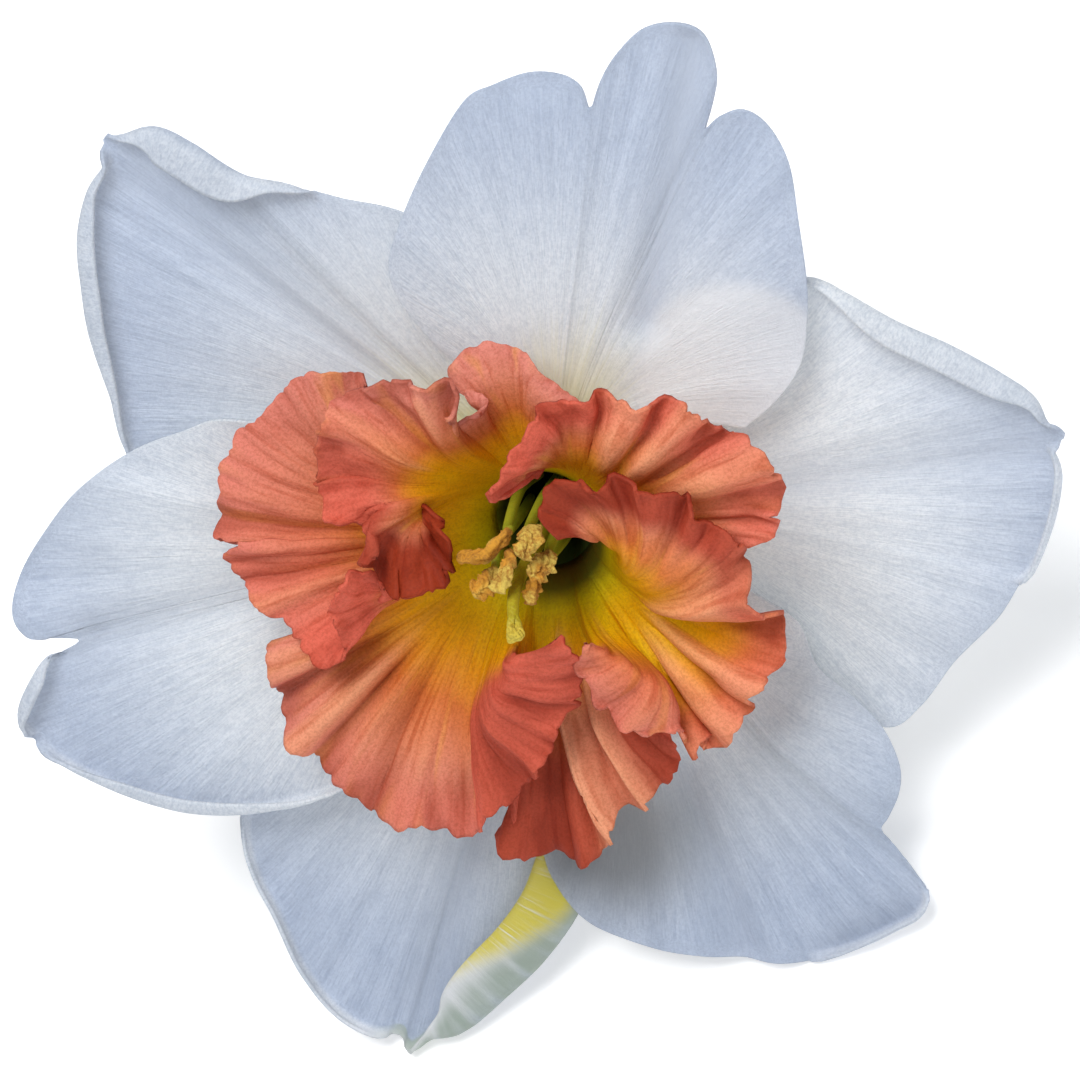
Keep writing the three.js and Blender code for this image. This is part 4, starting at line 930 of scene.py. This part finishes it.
class Finish:
    """A material in the making."""

    def __init__(self, name):
        self.material = bpy.data.materials.new(name)
        self.material.use_nodes = True
        self.tree = self.material.node_tree
        self.tree.nodes.clear()
        self.colour = None

    def node(self, kind, settings=None, sockets=None, output=0):
        made = self.tree.nodes.new(kind)
        for key, value in (settings or {}).items():
            if key == "stops":
                self.set_stops(made.color_ramp, value)
            else:
                setattr(made, key, value)
        for key, value in (sockets or {}).items():
            if isinstance(value, Wire):
                self.tree.links.new(value.socket, made.inputs[key])
            else:
                made.inputs[key].default_value = value
        return None if output is None else Wire(self, made.outputs[output])

    @staticmethod
    def set_stops(ramp, stops):
        while len(ramp.elements) < len(stops):
            ramp.elements.new(0.5)
        for element, (position, colour) in zip(ramp.elements, stops):
            element.position = position
            element.color = (*colour, 1)

    def uv(self):
        """The wires u and v of the piece's own grid."""
        spot = self.node("ShaderNodeUVMap", {"uv_map": "UVMap"})
        return (self.node("ShaderNodeSeparateXYZ", None, {0: spot}, output=0),
                self.node("ShaderNodeSeparateXYZ", None, {0: spot}, output=1))

    def place(self):
        return self.node("ShaderNodeTexCoord", output="Object")

    def spot(self, x, y, z=0):
        return self.node("ShaderNodeCombineXYZ", None, {0: x, 1: y, 2: z})

    def noise(self, spot, scale=1, detail=2, roughness=0.5):
        return self.node("ShaderNodeTexNoise", None,
                         {"Vector": spot, "Scale": scale, "Detail": detail, "Roughness": roughness})

    def ramp(self, amount, stops):
        return self.node("ShaderNodeValToRGB", {"stops": stops}, {0: amount})

    def blend(self, amount, first, second, mode="MIX"):
        colours = {6: first, 7: second}
        solid = {key: (*value, 1) if isinstance(value, tuple) else value for key, value in colours.items()}
        return self.node("ShaderNodeMix", {"data_type": "RGBA", "blend_type": mode},
                         {0: amount, **solid}, output=2)

    def coat(self, amount, colour, mode="MIX"):
        """Lays a colour over the colour so far, as strongly as the amount says."""
        self.colour = self.blend(amount, self.colour, colour, mode)

    def between(self, amount, low, high):
        """0 below low, 1 above high, and smooth between them."""
        return self.node("ShaderNodeMapRange", {"interpolation_type": "SMOOTHSTEP"},
                         {"Value": amount, "From Min": low, "From Max": high})

    def painted(self, name):
        return self.node("ShaderNodeAttribute", {"attribute_name": name}, output="Fac")

    def done(self, roughness, bump=None, depth=0.0002, strength=0.5, glow=None, glow_share=0.25, **constants):
        """Puts the finish on a Principled shader, mixed with light that comes through a glowing sheet."""
        sockets = {"Base Color": self.colour, "Roughness": roughness, **constants}
        if bump is not None:
            sockets["Normal"] = self.node("ShaderNodeBump", None, {"Height": bump, "Distance": depth,
                                                                   "Strength": strength})
        surface = self.node("ShaderNodeBsdfPrincipled", None, sockets)
        if glow is not None:
            through = self.node("ShaderNodeBsdfTranslucent", None, {"Color": (*glow, 1)})
            surface = self.node("ShaderNodeMixShader", None, {0: glow_share, 1: surface, 2: through})
        self.node("ShaderNodeOutputMaterial", None, {0: surface}, output=None)
        return self.material


# %% [markdown]
# A tepal is thin, cool white tissue. Fine veins run along it, a little greyer than the rest, and slow broad
# streaks follow the plaits. Near the cup it is kept lightest, painted light against the corona's shadow, and
# further out it is painted darker and bluer as shade; at its root it turns cream and yellow-green. Light comes
# through it from behind, so part of its shader is Translucent. Creases carry painted grey shade, and where a
# second tepal lies behind, it carries a painted highlight. One tepal has a painted shadow beside the corona,
# and the folded flap of another a painted highlight on its free edge and greenish grey painted shade inside.

# %% The finish of the tepals
def tepal_finish():
    f = Finish("petal white")
    u, v = f.uv()
    veins = f.noise(f.spot(u * 230, v * 4), detail=3, roughness=0.6)
    streaks = f.noise(f.spot(u * 36, v * 1.6, 4.0), detail=2)
    flecks = f.noise(f.spot(u * 400, v * 36, 9.0), detail=2, roughness=0.7)
    light = f.between(veins * 0.45 + streaks * 0.55, 0.3, 0.68)
    far = f.painted("far")
    # The white is kept lightest near the cup, painted light against the corona's shadow, and turns darker and
    # bluer further out as painted shade.
    f.colour = f.blend(light, (0.78, 0.815, 0.85), (0.93, 0.95, 0.965))
    f.coat(far, f.blend(light, (0.39, 0.465, 0.61), (0.54, 0.62, 0.77)))
    cells = f.noise(f.place(), scale=3000, detail=2, roughness=0.7)
    f.coat(1 - f.between(flecks, 0.36, 0.6), (0.79, 0.82, 0.86), "MULTIPLY")
    f.coat(1 - f.between(cells, 0.36, 0.6), (0.83, 0.845, 0.87), "MULTIPLY")
    # painted shade along the creases
    f.coat(f.painted("shade") * 0.7, (0.40, 0.46, 0.58))
    # a painted shadow of the corona
    f.coat(f.painted("dusk"), (0.12, 0.12, 0.125))
    # painted highlights: where a second tepal lies behind, and on the free edge of the bottom tepal's flap
    f.coat(f.painted("bright"), (0.84, 0.84, 0.85))
    # a greenish grey painted shade on the flap
    f.coat(f.painted("dull") * f.between(streaks, 0.1, 0.52), (0.33, 0.40, 0.34))
    root = v + (veins - 0.5) * 0.22
    f.coat(1 - f.between(root, 0.18, 0.46), (0.80, 0.78, 0.50))
    f.coat(1 - f.between(root, 0.08, 0.3), (0.50, 0.52, 0.08))
    f.coat(f.painted("yellow") * f.between(veins, 0.25, 0.5), (0.72, 0.62, 0.05))
    rough = 0.5 + veins * 0.2
    bump = veins * 0.45 + flecks * 0.35 + cells * 0.2
    return f.done(rough, bump, depth=0.0003, strength=0.75, glow=(0.94, 0.94, 0.93), glow_share=0.36)


# %% [markdown]
# The corona runs from dark green in the throat over yellow and orange to salmon pink at its rim. Deep in the
# throat its green is darkened as painted shade, and on one side of the throat painted light draws the bands
# towards yellow. The bands don't keep to the rows of the grid: noise pulls them up and down along the veins.
# Some lobes are flushed deeper red, which is painted on them, and where the flush is strongest it darkens
# further, partly as a deeper red and partly as painted shade. Ridges carry a painted highlight and valleys
# painted shade, and the crests of some pleats a paler painted highlight. Fine veins run out to the frill.

# %% The finish of the corona
# The first two stops, deep in the throat, are its green darkened as painted shade.
CORONA_BANDS = [
    (0.0, (0.010, 0.020, 0.002)),
    (0.07, (0.075, 0.110, 0.004)),
    (0.15, (0.72, 0.61, 0.001)),
    (0.24, (0.97, 0.65, 0.001)),
    (0.36, (0.92, 0.43, 0.002)),
    (0.52, (0.72, 0.21, 0.050)),
    (0.78, (0.80, 0.29, 0.18)),
    (1.0, (0.78, 0.275, 0.21)),
]


def corona_finish():
    f = Finish("corona pink")
    u, v = f.uv()
    veins = f.noise(f.spot(u * 420, v * 2.4), detail=3, roughness=0.6)
    drift = f.noise(f.spot(u * 36, v * 1.5, 2.0), detail=2)
    crinkle = f.noise(f.spot(u * 520, v * 18), detail=3, roughness=0.65)
    gilt = f.noise(f.spot(u * 150, v * 1.3, 6.0), detail=2)
    reach = f.between(v, 0.08, 0.4)
    drawn = (drift - 0.5) * 0.24 + (veins - 0.5) * 0.1
    # painted light on one side of the throat shifts the bands towards yellow
    heat = v + f.painted("lit") * 0.16 - f.painted("sun") * f.between(v, 0.22, 0.55) + drawn * reach
    f.colour = f.ramp(heat, CORONA_BANDS)
    f.coat(0.4 * reach * f.between(gilt, 0.55, 0.68), (0.85, 0.42, 0.05))
    relief = f.painted("relief")
    # a painted highlight on the ridges
    f.coat(0.35 * f.between(relief, 0.1, 0.8), (0.97, 0.46, 0.22))
    # the flush, darkened where it is strongest, partly as a deeper red and partly as painted shade
    red = f.blend(f.painted("brick"), (0.77, 0.152, 0.095), (0.34, 0.040, 0.012))
    f.coat(f.painted("flush"), red)
    # a painted highlight along the crests of some pleats
    f.coat(f.painted("pale"), (0.94, 0.41, 0.23))
    f.coat(0.5 * reach * (1 - f.between(veins, 0.3, 0.55)), (0.55, 0.22, 0.10), "MULTIPLY")
    # painted shade in the valleys
    f.coat(0.55 * f.between(1 - relief, 1.0, 1.7), (0.50, 0.30, 0.22), "MULTIPLY")
    grain = f.noise(f.place(), scale=3600, detail=3, roughness=0.7)
    f.coat(1 - f.between(grain, 0.35, 0.6), (0.80, 0.76, 0.72), "MULTIPLY")
    rough = 0.5 + crinkle * 0.25
    bump = veins * 0.4 + crinkle * 0.35 + grain * 0.25
    return f.done(rough, bump, depth=0.00035, strength=0.85, glow=(0.9, 0.30, 0.06), glow_share=0.2,
                  **{"Specular IOR Level": 0.18})


# %% [markdown]
# Filaments and style are smooth and waxy, yellow-green. Pollen makes the anthers powdery: a fine, rough grain
# of ochre and brown. In the swept pieces v counts the stations, so a limit on v parts filament from anther.

# %% The finishes of stamens and pistil
def stamen_finish():
    f = Finish("pollen ochre")
    v = f.uv()[1]
    grain = f.noise(f.place(), scale=3200, detail=3, roughness=0.7)
    blotch = f.noise(f.place(), scale=700, detail=2)
    filament = f.blend(blotch, (0.24, 0.31, 0.012), (0.44, 0.46, 0.03))
    patch = f.between(f.noise(f.place(), scale=330, detail=1), 0.42, 0.58)
    pollen = f.blend(patch, (0.60, 0.27, 0.02), (0.63, 0.45, 0.08))
    pollen = f.blend(f.between(grain * 0.5 + blotch * 0.5, 0.36, 0.58), (0.34, 0.14, 0.012), pollen)
    anther = f.between(v, 0.40, 0.45)
    f.colour = f.blend(anther, filament, pollen)
    return f.done(0.4 + anther * 0.45, grain, depth=0.00025, strength=0.7)


def pistil_finish():
    f = Finish("stigma yellow")
    v = f.uv()[1]
    grain = f.noise(f.place(), scale=3600, detail=2)
    stigma = f.between(v, 0.55, 0.68)
    f.colour = f.blend(stigma, (0.40, 0.34, 0.016), (0.58, 0.43, 0.04))
    f.coat(f.between(grain, 0.45, 0.6) * 0.6, (0.33, 0.24, 0.012))
    return f.done(0.4 + stigma * 0.35, grain, depth=0.0002, strength=0.6)


# %% [markdown]
# The green parts are fleshy and waxy: soft highlights, a mottled colour and fine lines along them. The tube
# is palest at its mouth, and its inside, the green bottom of the throat, is darkened as painted shade, with
# painted light on the side that catches it. The spathe has dried to brown paper.

# %% The finishes of the green parts
def lined_green(name, dark, light, lines):
    f = Finish(name)
    u, v = f.uv()
    stripe = f.noise(f.spot(u * lines, v * 3), detail=3)
    mottle = f.noise(f.place(), scale=420, detail=3)
    f.colour = f.blend(f.between(stripe * 0.6 + mottle * 0.4, 0.35, 0.65), dark, light)
    return f, u, v, stripe, mottle


TUBE_SUN = 4.07  # radians round the tube to the side of its inside that gets painted light


def tube_finish():
    f, u, v, stripe, mottle = lined_green("tube green", (0.20, 0.30, 0.05), (0.38, 0.46, 0.12), 60)
    f.coat(1 - f.between(v, 0.0, 0.2), (0.62, 0.66, 0.34))
    turn = u * (2 * math.pi) - TUBE_SUN
    bright_side = turn.sum("COSINE", turn) * 0.5 + 0.5
    # the inside is painted dark as shade, and lighter as painted light on the side that catches it
    mouth = f.blend(bright_side * f.between(v, 0.7, 0.86), (0.018, 0.032, 0.003), (0.30, 0.28, 0.006))
    f.coat(f.between(v, 0.5, 0.56), mouth)
    return f.done(0.42 + mottle * 0.15, stripe, depth=0.0003, strength=0.4)


def ovary_finish():
    f, *_, mottle = lined_green("ovary green", (0.085, 0.17, 0.025), (0.20, 0.33, 0.06), 40)
    return f.done(0.4 + mottle * 0.15, mottle, depth=0.0003, strength=0.4)


def stem_finish():
    f, _, v, stripe, mottle = lined_green("stem green", (0.13, 0.23, 0.04), (0.26, 0.38, 0.10), 90)
    cut = f.between(v, 0.565, 0.58)
    f.coat(cut, (0.50, 0.58, 0.26))
    return f.done(0.42 + mottle * 0.15, stripe, depth=0.0003, strength=0.5)


def spathe_finish():
    f = Finish("spathe paper")
    u, v = f.uv()
    veins = f.noise(f.spot(u * 90, v * 2.5), detail=3)
    stains = f.noise(f.place(), scale=260, detail=3)
    f.colour = f.blend(f.between(veins, 0.35, 0.6), (0.40, 0.28, 0.14), (0.70, 0.57, 0.36))
    f.coat(f.between(stains, 0.5, 0.7) * 0.5, (0.30, 0.18, 0.08))
    return f.done(0.7 + veins * 0.15, veins, depth=0.0004, strength=0.7, glow=(0.7, 0.5, 0.25),
                  glow_share=0.3)


FINISHES = {
    "tepal": tepal_finish(),
    "corona": corona_finish(),
    "stamen": stamen_finish(),
    "pistil": pistil_finish(),
    "tube": tube_finish(),
    "ovary": ovary_finish(),
    "stem": stem_finish(),
    "spathe": spathe_finish(),
}
print("finishes:", ", ".join(FINISHES))

# %% [markdown]
# Every fine piece stands for one solid and takes the slot that the record gives it. The flower has no joints,
# so all of them ride on the one body.

# %% Fine pieces in place of the solids
SLOT_OF = {entry["node"]: entry["material_slot"] for entry in frame["record"]["subparts"]}

for node, piece in PIECE_OF.items():
    piece.data.materials.clear()
    piece.data.materials.append(FINISHES[SLOT_OF[node]])
    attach(piece, "root")
    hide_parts(node)
print("pieces:", len(PIECE_OF), "faces:", sum(len(piece.data.polygons) for piece in PIECE_OF.values()))

# %% [markdown]
# The flower lies on a plain pale floor, in the light of a bright overcast sky, which comes from above the
# petals and a little from the left. A wide soft lamp shapes the folds, and a bright even sky fills them.

# %% Floor and light
FLOOR_SIZE = 6
bpy.ops.mesh.primitive_plane_add(size=FLOOR_SIZE)
floor = bpy.context.object
floor.name = "pale_floor"
f = Finish("pale floor")
f.colour = f.blend(f.noise(f.place(), scale=40), (0.86, 0.86, 0.86), (0.90, 0.90, 0.90))
floor.data.materials.append(f.done(0.9, **{"Emission Color": (1, 1, 1, 1), "Emission Strength": 0.3}))
floor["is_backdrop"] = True


def soft_lamp(name, spot, size, watts):
    """A square lamp at a place in the flower's own frame, turned to the flower."""
    place = FACE @ Vector(spot)
    bpy.ops.object.light_add(type="AREA", location=place)
    lamp = bpy.context.object
    lamp.name = name
    lamp.data.size = size
    lamp.data.energy = watts
    lamp.rotation_euler = (FACE @ Vector((0, 0, 0)) - place).to_track_quat("-Z", "Y").to_euler()
    return lamp


soft_lamp("sky_lamp", (-220, 560, 520), 0.45, 5.8)
soft_lamp("side_lamp", (260, -60, 560), 0.6, 1.1)

sky = bpy.data.worlds.new("overcast sky")
sky.use_nodes = True
sky.node_tree.nodes["Background"].inputs["Color"].default_value = (0.93, 0.96, 1.0, 1)
sky.node_tree.nodes["Background"].inputs["Strength"].default_value = 0.42
bpy.context.scene.world = sky
bpy.context.scene.view_settings.view_transform = "Standard"
print("lamps:", len([o for o in bpy.context.scene.objects if o.type == "LIGHT"]))

# %% [markdown]
# The boxes of the solids and of the fine meshes are gathered, and the size of the fine model is printed.

# %% Sizes and the end
bpy.ops.object.select_all(action="DESELECT")
bpy.context.view_layer.update()
sizes = {"cad": [list(corner) for corner in cad_box], "visual": [list(corner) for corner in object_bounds()]}
print("fine model reaches", [round((b - a) / MM, 1) for a, b in zip(*sizes["visual"])], "mm")
